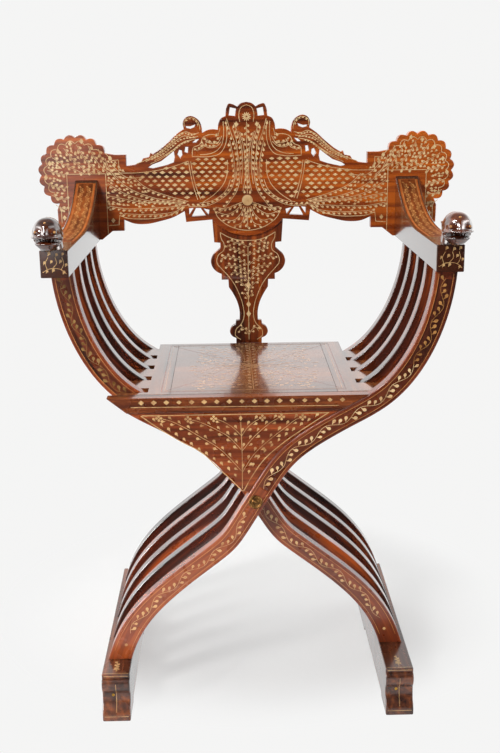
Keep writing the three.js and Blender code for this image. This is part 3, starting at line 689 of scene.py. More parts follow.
def wrapped(grid: Points) -> tuple[Points, np.ndarray]:
    """Closes a grid of rings into a lump with a polygon at each end.

    Args:
        grid: Rings of points.

    Returns:
        Points, and quads that face outwards.
    """
    rows, count = grid.shape[:2]
    poles = np.repeat(grid[[0, -1]].mean(axis=1)[:, None], count, axis=1)
    rings = np.concatenate([poles[:1], grid, poles[1:]])
    number = np.arange((rows + 2) * count).reshape(rows + 2, count)
    after = np.roll(number, -1, axis=1)
    quads = np.stack([number[:-1], after[:-1], after[1:], number[1:]], axis=-1)
    return rings.reshape(-1, 3), quads[:, :, ::-1].reshape(-1, 4)


class GrainAlong(Enum):
    """Direction of a straight board's grain: the order of the axes along, across and deep."""

    X = (0, 2, 1)
    Y = (1, 0, 2)
    Z = (2, 0, 1)

    def of(self, shift: float) -> Grain:
        """Grain coordinates of a straight board: its axes in order, moved so that boards differ."""
        return lambda points: points[:, list(self.value)] + shift * np.array([1, 3.7, 1.9])


@dataclass
class Board:
    """A sawn board: one outline with openings, given a thickness and rounded edges.

    Args:
        plane: The board's face.
        thickness: How thick it is.
        outline: Its outline, in the plane.
        openings: Outlines of the openings through it.
        edge: Radius of its rounded edges.
        node: Solid that it stands for, if any.
        steps: Faces across each rounded edge.
    """

    plane: Plane
    thickness: float
    outline: Points
    openings: Sequence[Points] = ()
    edge: float = 1.2
    node: str = ""
    steps: int = 3

    @classmethod
    def of(
        cls, node: str, facing: Facing, outline: Points, openings: Sequence[Points] = (), edge: float = 1.2
    ) -> "Board":
        """A board in place of a solid, in the face of its box that looks a given way and as thick as it."""
        thickness = float(np.ptp(box_mm(node), axis=0) @ np.abs(facing.axes()[2]))
        return cls(Plane.of(node, facing), thickness, outline, openings, edge, node)

    def loops(self) -> list[Points]:
        """The outline turning left and the openings turning right, told by the sign of their areas."""
        loops = []
        for number, loop in enumerate([self.outline, *self.openings]):
            turns_left = np.sum(cross(loop, np.roll(loop, -1, axis=0))) > 0
            loops.append(loop if turns_left == (number == 0) else loop[::-1])
        return loops

    def _rings(self) -> Points:
        """Insets r(1 - sin a), depths r(1 - cos a) and tilts (sin a, -cos a) of the rings.

        Returns:
            The four rows of numbers, from the front ring to the back one.
        """
        a = np.linspace(0, math.pi / 2, self.steps + 1)
        out, back = np.sin(a), np.cos(a)
        inset, depth = self.edge * (1 - out), self.edge * (1 - back)
        rear = np.stack([inset, self.thickness - depth, out, back])
        return np.concatenate([np.stack([inset, depth, out, -back]), rear[:, ::-1]], axis=1)

    def _wall(self, loop: Points, first: int) -> tuple[Points, np.ndarray, Points]:
        """One loop's wall: rings of points, quads between them and a normal for each quad's corners.

        A corner's normal is (edge normal * out + inward * back). The edge normals on both sides of a corner
        of the loop are averaged, unless they differ by more than the crease angle.

        Args:
            loop: The loop, with the wood on its left.
            first: Number of its first point in the mesh.

        Returns:
            Points, quads and normals.
        """
        insets, depths, outs, backs = self._rings()
        flat = np.stack([offset_loop(loop, inset) for inset in insets])
        number = first + np.arange(flat.size // 2).reshape(flat.shape[:2])
        after = np.roll(number, -1, axis=1)
        quads = np.stack([number[:-1], number[1:], after[1:], after[:-1]], axis=-1)
        normal = -turned(unit(np.roll(loop, -1, axis=0) - loop))
        before = np.roll(normal, 1, axis=0)
        soft = np.sum(normal * before, axis=-1, keepdims=True) > math.cos(math.radians(CREASE))
        shared = unit(normal + before)
        start = np.where(soft, shared, normal)
        end = np.roll(np.where(soft, shared, before), -1, axis=0)
        sides = np.stack([start, start, end, end], axis=1)[None]
        tilts = np.stack([outs, backs])
        tilts = np.stack([tilts[:, :-1], tilts[:, 1:], tilts[:, 1:], tilts[:, :-1]], axis=-1)
        out, back = tilts[:, :, None, :, None]
        across, up, inward = self.plane.facing.axes()
        normals = (sides[..., :1] * across + sides[..., 1:] * up) * out + back * inward
        points = self.plane.place(flat, depths[:, None])
        return points.reshape(-1, 3), quads.reshape(-1, 4), normals.reshape(-1, 3)

    def mesh(self) -> tuple[Points, list[np.ndarray], Points]:
        """Walls round every loop and two caps filled with triangles.

        Returns:
            Points, face arrays and the normals of the faces' corners.
        """
        walls, rims, starts, total = [], [], [], 0
        insets = self._rings()[0]
        for loop in self.loops():
            walls.append(self._wall(loop, total))
            rims.append(offset_loop(loop, insets[0]))
            starts.append(total)
            total += len(walls[-1][0])
        points, quads, normals = (np.concatenate(group) for group in zip(*walls))
        front = np.concatenate([start + np.arange(len(rim)) for start, rim in zip(starts, rims)])
        deeper = np.concatenate([np.full(len(rim), (len(insets) - 1) * len(rim)) for rim in rims])
        fill = np.array(tessellate_polygon([[Vector((*pair, 0)) for pair in rim] for rim in rims]))
        a, b, c = np.moveaxis(np.concatenate(rims)[fill], 1, 0)
        fill = np.where(cross(b - a, c - a)[:, None] > 0, fill, fill[:, ::-1])
        cap = np.broadcast_to(self.plane.facing.axes()[2], (3 * len(fill), 3))
        faces = [quads, front[fill], (front + deeper)[fill[:, ::-1]]]
        return points, faces, np.concatenate([normals, -cap, cap])

    def build(self, name: str, body: str, finish: Wood, grain: Grain) -> bpy.types.Object:
        """Makes the board as a piece that rides on a body."""
        points, faces, normals = self.mesh()
        return make_piece(name, points, faces, body, finish, normals, grain(points), self.node)


@dataclass(frozen=True)
class Sprig:
    """How a stem with leaves is drawn.

    Args:
        spacing: Distance from leaf to leaf.
        leaf: Length and width of a leaf.
        reach: Distance between the stem and a leaf's root.
        stem: Width of the stem, or 0 for leaves alone.
        inset: Length of stem without leaves at its ends.
    """

    spacing: float
    leaf: tuple[float, float]
    reach: float
    stem: float
    inset: float


@dataclass
class Inlay:
    """Strips of inlay let into a surface: each has a spine and a width at every point of it.

    Args:
        surface: What it is let into.
        proud: How far it stands above the wood.
        bounds: Outline that no leaf or dot may cross, or none.
        openings: Outlines of openings that they keep off.
        clear: Least distance from a leaf's middle to those of the leaves set before it.
        strips: Spines and widths kept so far.
        taken: Middles of the leaves kept so far, after one that is far off.
    """

    surface: Plane | SweptTop
    proud: float = INLAY_PROUD
    bounds: Points | None = None
    openings: Sequence[Points] = ()
    clear: float = 0.0
    strips: list[tuple[Points, Points]] = field(default_factory=list)
    taken: list[Points] = field(default_factory=lambda: [np.full((1, 2), 1e6)])

    def add(self, spines: Points, widths: Points) -> None:
        """Keeps the strips that lie within the bounds, off the openings and clear of earlier ones.

        Args:
            spines: Points along the middle of each strip.
            widths: Widths at these points.
        """
        middles = spines.mean(axis=1)
        gaps = np.linalg.norm(middles[:, None] - np.concatenate(self.taken)[None], axis=-1)
        kept = gaps.min(axis=1) > self.clear
        if self.bounds is not None:
            kept &= inside(spines, self.bounds).all(axis=1)
        for opening in self.openings:
            kept &= ~inside(spines, opening).any(axis=1)
        if kept.any():
            self.taken.append(middles[kept])
            self.strips.append((spines[kept], np.broadcast_to(widths, spines.shape[:2])[kept]))

    def line(self, path: Sequence, width: float = LINE_WIDTH) -> None:
        """A strip of one width along a path."""
        path = np.asarray(path, float)
        self.strips.append((path[None], np.full((1, len(path)), width)))

    def lines(self, paths: Sequence, width: float = LINE_WIDTH) -> None:
        """Smooth strips along several paths and along their mirror images."""
        for path in paths:
            for side in (1, -1):
                self.line(smooth(flipped(path, side)) if len(path) > 2 else flipped(path, side), width)

    def leaves(self, at: Points, towards: Points, length: float, width: float, curl: float) -> None:
        """Comma-shaped leaves: spine = at + length * (t * towards + curl * t^2 * left of towards).

        Args:
            at: Where each leaf starts.
            towards: Direction of each leaf, or one direction for all.
            length: Length of a leaf.
            width: Its greatest width.
            curl: How far its head bends to the left, as a share of its length.
        """
        ahead = unit(np.broadcast_to(towards, at.shape))[:, None, :]
        sizes = chance.uniform(0.86, 1.1, (len(at), 1))
        bent = LEAF_PLACES * ahead + curl * LEAF_PLACES**2 * turned(ahead)
        self.add(at[:, None, :] + length * sizes[..., None] * bent, width * sizes * LEAF_WIDTHS)

    def diamonds(self, at: Points, along: Points, length: float, width: float) -> None:
        """Diamonds: strips of three points with almost no width at their ends.

        Args:
            at: Their middles.
            along: Direction of their spines.
            length: Length along it.
            width: Width across it.
        """
        sizes = chance.uniform(0.88, 1.08, (len(at), 1))
        t = np.array([-0.5, 0, 0.5])[:, None]
        spines = at[:, None, :] + length * sizes[..., None] * t * along
        self.add(spines, width * sizes * np.array([0.06, 1, 0.06]))

    def discs(self, at: Sequence, radius: float) -> None:
        """Round dots: width = 2 * sqrt(r^2 - t^2) across a straight spine.

        Args:
            at: Their middles.
            radius: Radius of each.
        """
        t = np.sin(np.linspace(-1, 1, 9) * math.pi / 2 * 0.99)
        spines = np.asarray(at, float)[:, None, :] + radius * t[:, None] * ACROSS
        self.add(spines, 2 * radius * np.sqrt(1 - t**2))

    def petals(self, at: Sequence, count: int, radius: float, start: float = 90.0) -> None:
        """Flowers: petals set evenly round each point, from a gap at the middle to the radius.

        Args:
            at: Middles of the flowers.
            count: Petals of each.
            radius: Reach of a petal.
            start: Direction of the first petal, in degrees.
        """
        rays = arc((0, 0), 1, start, start + 360, count + 1)[:-1]
        centres = np.repeat(np.asarray(at, float), count, axis=0)
        spines = centres[:, None, :] + radius * PETAL_PLACES * np.tile(rays, (len(at), 1))[:, None, :]
        self.add(spines, radius * 2.4 / count * PETAL_WIDTHS)

    def sprig(self, path: Points, kind: Sprig, sides: Sequence[int] = (1, -1)) -> None:
        """A stem with comma leaves on its sides, those on the right half a step further on.

        Args:
            path: Points of the stem.
            kind: How it is drawn.
            sides: Which sides bear leaves: 1 is the left.
        """
        if kind.stem > 0:
            self.line(path, kind.stem)
        for side in sides:
            stagger = 0.5 * kind.spacing if side < 0 and len(sides) > 1 else 0
            at, ahead = evenly(path, kind.spacing, kind.inset + stagger)
            away = side * turned(ahead)
            self.leaves(at + kind.reach * away, 0.55 * away + 0.8 * ahead, *kind.leaf, -0.3 * side)

    def sprigs(self, paths: Sequence, kind: Sprig, side: int = 0) -> None:
        """Smooth sprigs along several paths and along their mirror images.

        Args:
            paths: Points of the stems on the right half.
            kind: How they are drawn.
            side: Which side of the stems bears leaves, or 0 for both.
        """
        for path in paths:
            for flip in (1, -1):
                self.sprig(smooth(flipped(path, flip)), kind, (side * flip,) if side else (1, -1))

    def vine(self, path: Points, sway: float, wave: float, leaf: tuple[float, float]) -> None:
        """A stem that sways about a path, offset = sway * sin(2 pi s / wave), with leaves in its bays.

        Args:
            path: Points of the middle line.
            sway: Greatest distance of the stem from it.
            wave: Length of one full wave.
            leaf: Length and width of a leaf.
        """
        at, ahead = evenly(path, 2)
        s = stations_of(at)
        bends = max(2, int(round(s[-1] / wave * 2)))
        stem = at + (sway * np.sin(math.pi * bends * s / s[-1]))[:, None] * turned(ahead)
        self.line(stem, LINE_WIDTH * 0.55)
        bays = np.arange(bends)
        for shift, lean, outer in ((0.2, 0.6, -1), (0.56, 0.2, -1), (0.9, 0.8, 1)):
            places = (bays + shift) / bends * s[-1]
            root, tangent = read_off(stem, s, places), unit(read_off(ahead, s, places))
            for turn in (1, -1):
                pick = outer * (1 - 2 * (bays % 2)) == turn
                aside = turn * turned(tangent[pick])
                self.leaves(root[pick] + 0.7 * aside, lean * tangent[pick] + aside, *leaf, -0.45 * turn)

    def build(self, name: str, body: str, finish: Finish, grain: Grain | None = None) -> None:
        """Makes every strip a closed prism, proud of the wood above and sunk into it below.

        The four corners at each spine point are spine +- width / 2 * normal, above and below. Quads join
        them from point to point, and a quad closes each end.

        Args:
            name: Name of the piece.
            body: Body that it moves with.
            finish: Its finish.
            grain: Works out grain coordinates from points, for a wood.
        """
        points, faces, total = [], [], 0
        around = np.arange(4)
        for spines, widths in self.strips:
            count, length = spines.shape[:2]
            half = 0.5 * widths[..., None] * turned(unit(np.gradient(spines, axis=1)))
            flat = np.stack([spines + half, spines - half, spines - half, spines + half], axis=2)
            lift = self.proud + chance.uniform(0, INLAY_SPREAD, (count, 1))
            sunk = np.full_like(lift, INLAY_SUNK)
            depth = np.stack([-lift, -lift, sunk, sunk], axis=-1)
            points.append(self.surface.place(flat, depth).reshape(-1, 3))
            base = total + 4 * length * np.arange(count)[:, None, None]
            ring = base + 4 * np.arange(length - 1)[None, :, None]
            here, beside = ring + around, ring + np.roll(around, -1)
            faces.append(np.stack([here, beside, beside + 4, here + 4], axis=-1).reshape(-1, 4))
            faces.append(base[:, 0] + around[::-1])
            faces.append(base[:, 0] + 4 * (length - 1) + around)
            total += 4 * length * count
        corners = np.concatenate(points)
        rows = grain(corners) if grain else None
        make_piece(name, corners, [np.concatenate(faces)], body, finish, grain=rows)


@dataclass(frozen=True)
class SlatLine:
    """Centre line and edges of a slat that rises from its foot at the left to its arm at the right.

    Args:
        stations: Place, heading in degrees and width at six places, from the foot to the arm.
        handles: Lengths of each span's two handles, as shares of its chord.
        steps: Points made in each span.
        overrun: Length by which its ends run on before they are cut level.
    """

    stations: tuple = (
        (-221, 76, 74, 36), (-109, 223, 38.5, 31), (0, 344, 58.5, 31),
        (127, 470, 29.5, 31), (207, 520, 43, 31), (284, 701, 86, 33),
    )
    handles: tuple = ((0.35, 0.43), (0.6, 0.58), (0.45, 0.5), (0.36, 0.34), (0.3, 0.36))
    steps: int = 18
    overrun: float = 36.0

    def samples(self) -> tuple[Points, Points, Points]:
        """Cubic spans between the stations: handles run along the headings, widths change evenly.

        Returns:
            Points, unit tangents and widths.
        """
        lines, widths = [], []
        t = np.linspace(0, 1, self.steps + 1)[:-1, None]
        spans = zip(self.stations, self.stations[1:], self.handles)
        for (*start, h0, w0), (*end, h1, w1), (leave, arrive) in spans:
            start, end = np.array(start, float), np.array(end, float)
            a, b = np.linalg.norm(end - start) * arc((0, 0), 1, h0, h1, 2)
            lines.append(cubic(start, start + leave * a, end - arrive * b, end, t))
            widths.append(w0 + (w1 - w0) * t[:, 0])
        line = np.concatenate([*lines, [end]])
        return line, unit(np.gradient(line, stations_of(line), axis=0)), np.concatenate([*widths, [w1]])

    def edge(self, side: int, grow: float = 0.0) -> Points:
        """One edge: centre + side * (width / 2 + grow) * normal, run on straight at both ends.

        Args:
            side: 1 for the edge that faces up and inwards, -1 for the outer one.
            grow: Distance added outside the edge.

        Returns:
            Its points, which rise all the way.
        """
        line, ahead, widths = self.samples()
        rows = line + side * (widths / 2 + grow)[:, None] * turned(ahead)
        first, last = rows[:1] - self.overrun * ahead[:1], rows[-1:] + self.overrun * ahead[-1:]
        return np.concatenate([first, rows, last])

    def x_at(self, side: int, z: float, grow: float = 0.0) -> float:
        """Where an edge passes a height."""
        rows = self.edge(side, grow)
        return float(np.interp(z, rows[:, 1], rows[:, 0]))

    def between(self, side: int, low: float, high: float, grow: float = 0.0) -> Points:
        """Part of an edge between two heights, with its ends cut level.

        Args:
            side: Which edge.
            low: Lower height.
            high: Upper height.
            grow: Distance added outside the edge.

        Returns:
            Points from low to high.
        """
        rows = self.edge(side, grow)
        kept = rows[(rows[:, 1] > low + 0.3) & (rows[:, 1] < high - 0.3)]
        first, last = ([[self.x_at(side, z, grow), z]] for z in (low, high))
        return np.concatenate([first, kept, last])

    def middle(self, low: float, high: float) -> Points:
        """Part of the centre line between two heights."""
        line = self.samples()[0]
        return line[(line[:, 1] > low) & (line[:, 1] < high)]

    def grain(self, side: int, shift: float) -> Grain:
        """Grain coordinates that follow the slat: length along it, distance from its middle, and depth.

        Args:
            side: 1 for a slat that rises to the right, -1 for the other.
            shift: Distance by which the pattern is moved.

        Returns:
            A function of the points.
        """
        line, ahead, _ = self.samples()
        along = stations_of(line)

        def follow(points: Points) -> Points:
            """Coordinates from the nearest place of the centre line.

            Args:
                points: Points of the slat.

            Returns:
                Their grain coordinates.
            """
            flat = flipped(points[:, [0, 2]], side)
            nearest = np.argmin(np.linalg.norm(flat[:, None] - line[None], axis=-1), axis=1)
            gap, way = flat - line[nearest], ahead[nearest]
            s = along[nearest] + np.sum(gap * way, axis=-1)
            return paired(s + shift, np.sum(gap * turned(way), axis=-1) + 3.7 * shift, points[:, 1])

        return follow


@dataclass
class SlatSet:
    """The five slats of one side.

    Args:
        side: 1 for the set that rises to the right, -1 for the other.
        name: Which side's arm they carry.
        body: Body that they move with.
        line: Their centre line and edges.
        count: How many they are.
        low: Height of their lower end.
        high: Height of their upper end.
        pivot_hole: Radius of the pivot rod's hole.
        rosette_reach: How far above and below the pivot the vine stops.
        foot_reach: How far above the foot the vine starts.
        border: Distance of the border lines from the edges.
        band_width: Width of the dark band.
        vine: Sway and wave of the vine.
        top_vine_above: Height above which the top vine starts. On the right set that part is dimmer, as
            painted shade.
    """

    side: int
    name: str
    body: str
    line: SlatLine = SlatLine()
    count: int = 5
    low: float = 76.3
    high: float = 700.7
    pivot_hole: float = 5.4
    rosette_reach: float = 13.0
    foot_reach: float = 40.0
    border: float = 5.6
    band_width: float = 19.8
    vine: tuple[float, float] = (5.2, 60)
    top_vine_above: float = 560.0

    def build(self) -> None:
        """Makes the five slats, their outer edge up and their inner edge down, and the inlay."""
        outer, inner = (self.line.between(edge, self.low, self.high) for edge in (-1, 1))
        outline = flipped(np.concatenate([outer, inner[::-1]]), self.side)
        hole = arc((0, PIVOT_HEIGHT), self.pivot_hole, 360, 20, 24)
        for k in range(1, self.count + 1):
            node = f"{self.name}_slat_{k}"
            board = Board.of(node, Facing.FRONT, outline, [hole], 1.6)
            grain = self.line.grain(self.side, 173 * k + 61 * self.side)
            # The rear slats take the darker wood, whose darkness is partly painted shade between the slats.
            board.build(f"{node}_board", self.body, FRONT_WOOD if k == 1 else SHADED_REAR_SLAT_WOOD, grain)
        self.dress()

    def dress(self) -> None:
        """Two border lines and a vine on a darker band, from the foot to the arm, on the front face. On the
        right set the band is darker still and the vine's top part dimmer, as painted shade on that slat's
        upper part.
        """
        face = Plane.of(f"{self.name}_slat_1", Facing.FRONT)
        band = Inlay(face, BAND_PROUD)
        bright, upper_vine, faint, edges = (Inlay(face) for _ in range(4))
        lower = self.line.middle(self.low + self.foot_reach, PIVOT_HEIGHT - self.rosette_reach)
        upper = flipped(self.line.middle(PIVOT_HEIGHT + self.rosette_reach, self.high - 8), self.side)
        band.line(evenly(upper, 4)[0], self.band_width)
        bright.vine(upper[upper[:, 1] < self.top_vine_above], *self.vine, (8.2, 5))
        upper_vine.vine(upper[upper[:, 1] > self.top_vine_above - 1], *self.vine, (8, 4.8))
        faint.vine(flipped(lower, self.side), *self.vine, (7.8, 4.6))
        foot = self.low + 26
        faint.discs([(self.side * self.line.x_at(-1, foot, -16), foot)], 2.4)
        for edge in (1, -1):
            run = self.line.between(edge, self.low + 16, self.high - 4, -self.border)
            edges.line(flipped(evenly(run, 3)[0], self.side), 0.8)
        # On the right set a darker band and a dimmer top vine are painted shade on the slat's upper part.
        dark, pale, matt = BAND_WOOD, DULL_BONE, DULL_BONE
        if self.side > 0:
            dark, pale, matt = SHADED_BAND_WOOD, BONE, WORN_AND_SHADED_BONE
        band.build(f"{self.name}_slat_band", self.body, dark, self.line.grain(self.side, 40))
        for what, inlay, finish in (
            ("lines", edges, OCHRE), ("vine", bright, pale),
            ("top_vine", upper_vine, matt), ("leg_vine", faint, DIM_BONE),
        ):
            inlay.build(f"{self.name}_slat_{what}", self.body, finish)


@dataclass
class Foot:
    """A foot: rail with a moulded toe, a level top and two pads.

    Args:
        node: Its solid.
        body: Body that it moves with.
        toe: Runs of the toe's profile from the floor up, as shares of its reach and of the height.
        toe_reach: Reach of the toe's moulding.
        height: Height of the rail.
        rear_reach: How far the heel runs out below the rail's rear end.
        heel_bend: Height at which the heel's curve bends.
        heel_height: Height of the heel's upright end.
        arch: Height of the arch.
        toe_pad: Length of the front pad.
        heel_pad: Length of the rear pad.
        line_start: Height where the toe's upright line starts.
        pin_height: Height of the pin.
        ring_shares: Heights of the two lines across the toe, as shares of the height.
    """

    node: str
    body: str
    toe: tuple = (
        ((1, 0), (1, 0.12), (0.985, 0.16)),
        ((0.985, 0.16), (0.93, 0.25), (0.84, 0.35), (0.8, 0.46), (0.8, 0.56)),
        ((0.8, 0.56), (0.83, 0.6), (0.885, 0.67), (0.91, 0.77), (0.9, 0.84), (0.86, 0.885), (0.79, 0.9)),
        ((0.79, 0.9), (0.79, 1)),
    )
    toe_reach: float = 56.0
    height: float = 76.0
    rear_reach: float = 6.0
    heel_bend: float = 25.0
    heel_height: float = 12.2
    arch: float = 7.0
    toe_pad: float = 52.0
    heel_pad: float = 125.0
    line_start: float = 14.0
    pin_height: float = 40.0
    ring_shares: tuple = (0.1, 0.95)

    def toe_line(self) -> Points:
        """The toe's profile from the floor to the top: smooth runs that meet at its corners."""
        front = np.array([box_mm(self.node)[0, 1] + self.toe_reach, 0])
        runs = [np.array(run) * np.array([-self.toe_reach, self.height]) + front for run in self.toe]
        return joined([smooth(run, FINE_STEP) if len(run) > 3 else run for run in runs], closed=False)

    def outline(self) -> Points:
        """The toe from the floor up, level top, flared heel, rear pad and the arch.

        The heel is the curve (1 - t)^2 a + 2 (1 - t) t b + t^2 c, and each end of the arch a quarter sine.

        Returns:
            Pairs (y, z).
        """
        (_, front, _), (_, rear, _) = box_mm(self.node)
        t = np.linspace(0, 1, 14)[:, None]
        neck = rear - self.rear_reach
        a, b, c = np.array([[neck, self.height], [neck, self.heel_bend], [rear, self.heel_height]])
        heel = (1 - t) ** 2 * a + 2 * (1 - t) * t * b + t**2 * c
        ease = np.linspace(0, 1, 7)
        curve = self.arch * paired(ease, np.sin(ease * math.pi / 2))
        pad = rear - self.heel_pad
        rise, fall = flipped(curve) + pad * ACROSS, curve[::-1] + (front + self.toe_pad) * ACROSS
        return joined([self.toe_line(), heel, [(rear, 0), (pad, 0)], rise, fall])

    def build(self) -> None:
        """Makes the foot, lines and a small bright pin on its toe, and a flower on its top."""
        low, high = box_mm(self.node)
        board = Board.of(self.node, Facing.RIGHT, self.outline(), edge=1.8)
        board.build(f"{self.node}_rail", self.body, FOOT_WOOD, GrainAlong.Y.of(high[0]))
        toe = self.toe_line()
        stations, surface = stations_of(toe), SweptTop(toe)
        heights = [self.line_start, self.pin_height, *(share * self.height for share in self.ring_shares)]
        first, pin_place, *ends = np.interp(heights, toe[:, 1], stations)
        centre, half = (low[0] + high[0]) / 2, (high[0] - low[0]) / 2 - 3
        lines, pin = Inlay(surface, THIN_PROUD), Inlay(surface, 0.5)
        top = Inlay(Plane.of(self.node, Facing.TOP), THIN_PROUD)
        for v in ends:
            lines.line([(centre - half, v), (centre + half, v)], 0.9)
        lines.line(paired(centre, np.linspace(first, stations[-1] - 18, 24)), 0.8)
        lines.build(f"{self.node}_toe_inlay", self.body, DIM_BONE)
        pin.discs([(centre - 5, pin_place)], 2.3)
        pin.build(f"{self.node}_pin", self.body, GILT)
        edge = low[1] + 0.21 * self.toe_reach
        top.line([(centre - half, edge + 2.5), (centre + half, edge + 2.5)], 0.9)
        top.petals([(centre, edge + 16)], 5, 5, 270)
        stem = np.array([[centre, edge + 6], [centre, edge + 40]])
        top.sprig(stem, Sprig(12, (6, 4), 0.6, 0.8, 8))
        top.build(f"{self.node}_top_inlay", self.body, DIM_BONE)


@dataclass
class Arm:
    """An arm: level underside, a top that sweeps up to the crest board, and a slot for the crest's peg.

    Args:
        side: 1 for the right arm, -1 for the left.
        name: Which arm.
        body: Body that it moves with.
        depth: Height of its level forepart.
        sweep: Where the sweep starts and its two handles end, as shares of the length, and the share of
            the rise at the second.
        peg_height: Height of the crest board's peg.
        slot_half: Half the width of its slot.
        slot_depth: Depth of the slot.
        border: Distance of the border lines from the edges.
        band_start: Distance of the matt band from the front.
        band_end: Its distance from the rear.
        vines: Distance of the two vines from the middle.
        stems: Stems of the front's inlay, from the middle of its lower edge.
        heads: Roots of the leaves there.
    """

    side: int
    name: str
    body: str
    depth: float = 40.0
    sweep: tuple = (0.42, 0.66, 0.84, 0.33)
    peg_height: float = 757.0
    slot_half: float = 6.0
    slot_depth: float = 14.3
    border: float = 7.0
    band_start: float = 92.0
    band_end: float = 9.0
    vines: float = 6.2
    stems: tuple = (
        ((-17, 4), (-8, 9), (0, 10), (10, 8), (17, 2)),
        ((-2, 10), (4, 18), (2, 26)),
        ((-10, 8), (-12, 18), (-8, 26)),
        ((10, 8), (14, 16), (12, 26)),
    )
    heads: tuple = (
        (-12, 3), (-3, 4), (12, 1), (-15, 15), (-5, 17), (3, 27), (-8, 28), (12, 28), (8, 17), (16, 12),
    )

    def top(self) -> Points:
        """The top from front to back: level, then a cubic up to the rear.

        Returns:
            Pairs (y, z).
        """
        (_, front, base), (_, rear, crest) = box_mm(f"{self.name}_arm")
        start, leave, arrive, rise = self.sweep
        base += self.depth
        heights = [base, base, base + rise * (crest - base), crest]
        ends = paired(front + (rear - front) * np.array([start, leave, arrive, 1]), heights)
        level = paired(np.linspace(front, ends[0, 0], 12)[:-1], base)
        return np.concatenate([level, cubic(*ends, np.linspace(0, 1, 40)[:, None])])

    def build(self) -> None:
        """Makes the arm with its slot, and the inlay of its top and front."""
        node, top = f"{self.name}_arm", self.top()
        low, high = box_mm(node)
        outline = np.concatenate([[[low[1], low[2]], [high[1], low[2]]], top[::-1]])
        board = Board.of(node, Facing.RIGHT, outline, edge=2)
        arm = board.build(f"{node}_rail", self.body, ARM_WOOD, GrainAlong.Y.of(90 * self.side))
        self.cut_slot(arm, low, high)
        self.dress_top(SweptTop(top), stations_of(top)[-1], low, high)
        front = Inlay(Plane.of(node, Facing.FRONT))
        foot = np.array([(low[0] + high[0]) / 2, low[2] + 4])
        for stem in self.stems:
            front.line(smooth(np.array(stem, float) + foot), 0.8)
        front.leaves(np.array(self.heads) + foot, np.array([0.3, 1]), 5.6, 4.4, -0.3)
        front.build(f"{node}_front_inlay", self.body, DIM_BONE)

    def cut_slot(self, arm: bpy.types.Object, low: Points, high: Points) -> None:
        """Cuts the peg's slot: a channel square to the line from the pivot to the peg, with a round end.

        Args:
            arm: The arm's rail.
            low: Lowest corner of its solid.
            high: Highest corner.
        """
        start = np.array([self.side * abs(low[0] + high[0]) / 2, self.peg_height])
        away = -self.side * turned(unit(start - PIVOT_HEIGHT * UP))
        heading = math.degrees(math.atan2(away[1], away[0]))
        round_end = arc(start, self.slot_half, heading + 90, heading + 270, 13)
        outline = np.concatenate([round_end, round_end[[-1, 0]] + away * (high[0] - low[0])])
        tool = Board(Plane(Facing.FRONT, high[1] - self.slot_depth), 2 * self.slot_depth, outline, edge=0.01)
        carve(arm, placed("slot_tool", mesh_of("slot_tool", *tool.mesh()[:2])))

    def dress_top(self, surface: SweptTop, length: float, low: Points, high: Points) -> None:
        """A matt band with border lines and two vines on the top.

        Args:
            surface: The top.
            length: Its length.
            low: Lowest corner of the arm's solid.
            high: Highest corner.
        """
        lines, band, edges = Inlay(surface), Inlay(surface, BAND_PROUD), Inlay(surface)
        start, end, centre = self.band_start, length - self.band_end, (low[0] + high[0]) / 2
        half = (high[0] - low[0]) / 2 - self.border
        rail = paired(centre, np.linspace(start, end, 90))
        band.line(rail, 2 * half + 8)
        for edge in (-1, 1):
            edges.line(rail + edge * (half + 1.6) * ACROSS, 3)
            lines.line(rail + edge * half * ACROSS, 0.7)
        for v in (start, end):
            edges.line([(centre - half, v), (centre + half, v)], 1.6)
        for edge in (-1, 1):
            lines.vine(rail[3:-3] + edge * self.vines * ACROSS, 2.6, 30, (5.4, 3.2))
        lines.build(f"{self.name}_arm_inlay", self.body, WORN_AND_SHADED_BONE)
        edges.build(f"{self.name}_arm_edges", self.body, OCHRE_EDGE)
        band.build(f"{self.name}_arm_band", self.body, ARM_BAND, GrainAlong.Y.of(30))


def carve(piece: bpy.types.Object, tool: bpy.types.Object) -> None:
    """Cuts a tool out of a piece, then shades its flat faces flat and its rounded edges round.

    Args:
        piece: The piece that is cut.
        tool: The closed mesh that is cut out of it, which is removed afterwards.
    """
    settle(piece, "BOOLEAN", object=tool, operation="DIFFERENCE", solver="EXACT")
    bpy.data.objects.remove(tool)
    piece.data.polygons.foreach_set("use_smooth", np.ones(len(piece.data.polygons), bool))
    piece.data.set_sharp_from_angle(angle=math.radians(CREASE))
    settle(piece, "WEIGHTED_NORMAL", keep_sharp=True)


def settle(piece: bpy.types.Object, kind: str, **settings: object) -> None:
    """Gives a piece a modifier and applies it to its mesh.

    Args:
        piece: The piece.
        kind: Type of the modifier.
        settings: Its properties.
    """
    modifier = piece.modifiers.new(kind.lower(), kind)
    for key, value in settings.items():
        setattr(modifier, key, value)
    graph = bpy.context.evaluated_depsgraph_get()
    mesh = bpy.data.meshes.new_from_object(piece.evaluated_get(graph), depsgraph=graph)
    old, piece.data = piece.data, mesh
    piece.modifiers.clear()
    bpy.data.meshes.remove(old)


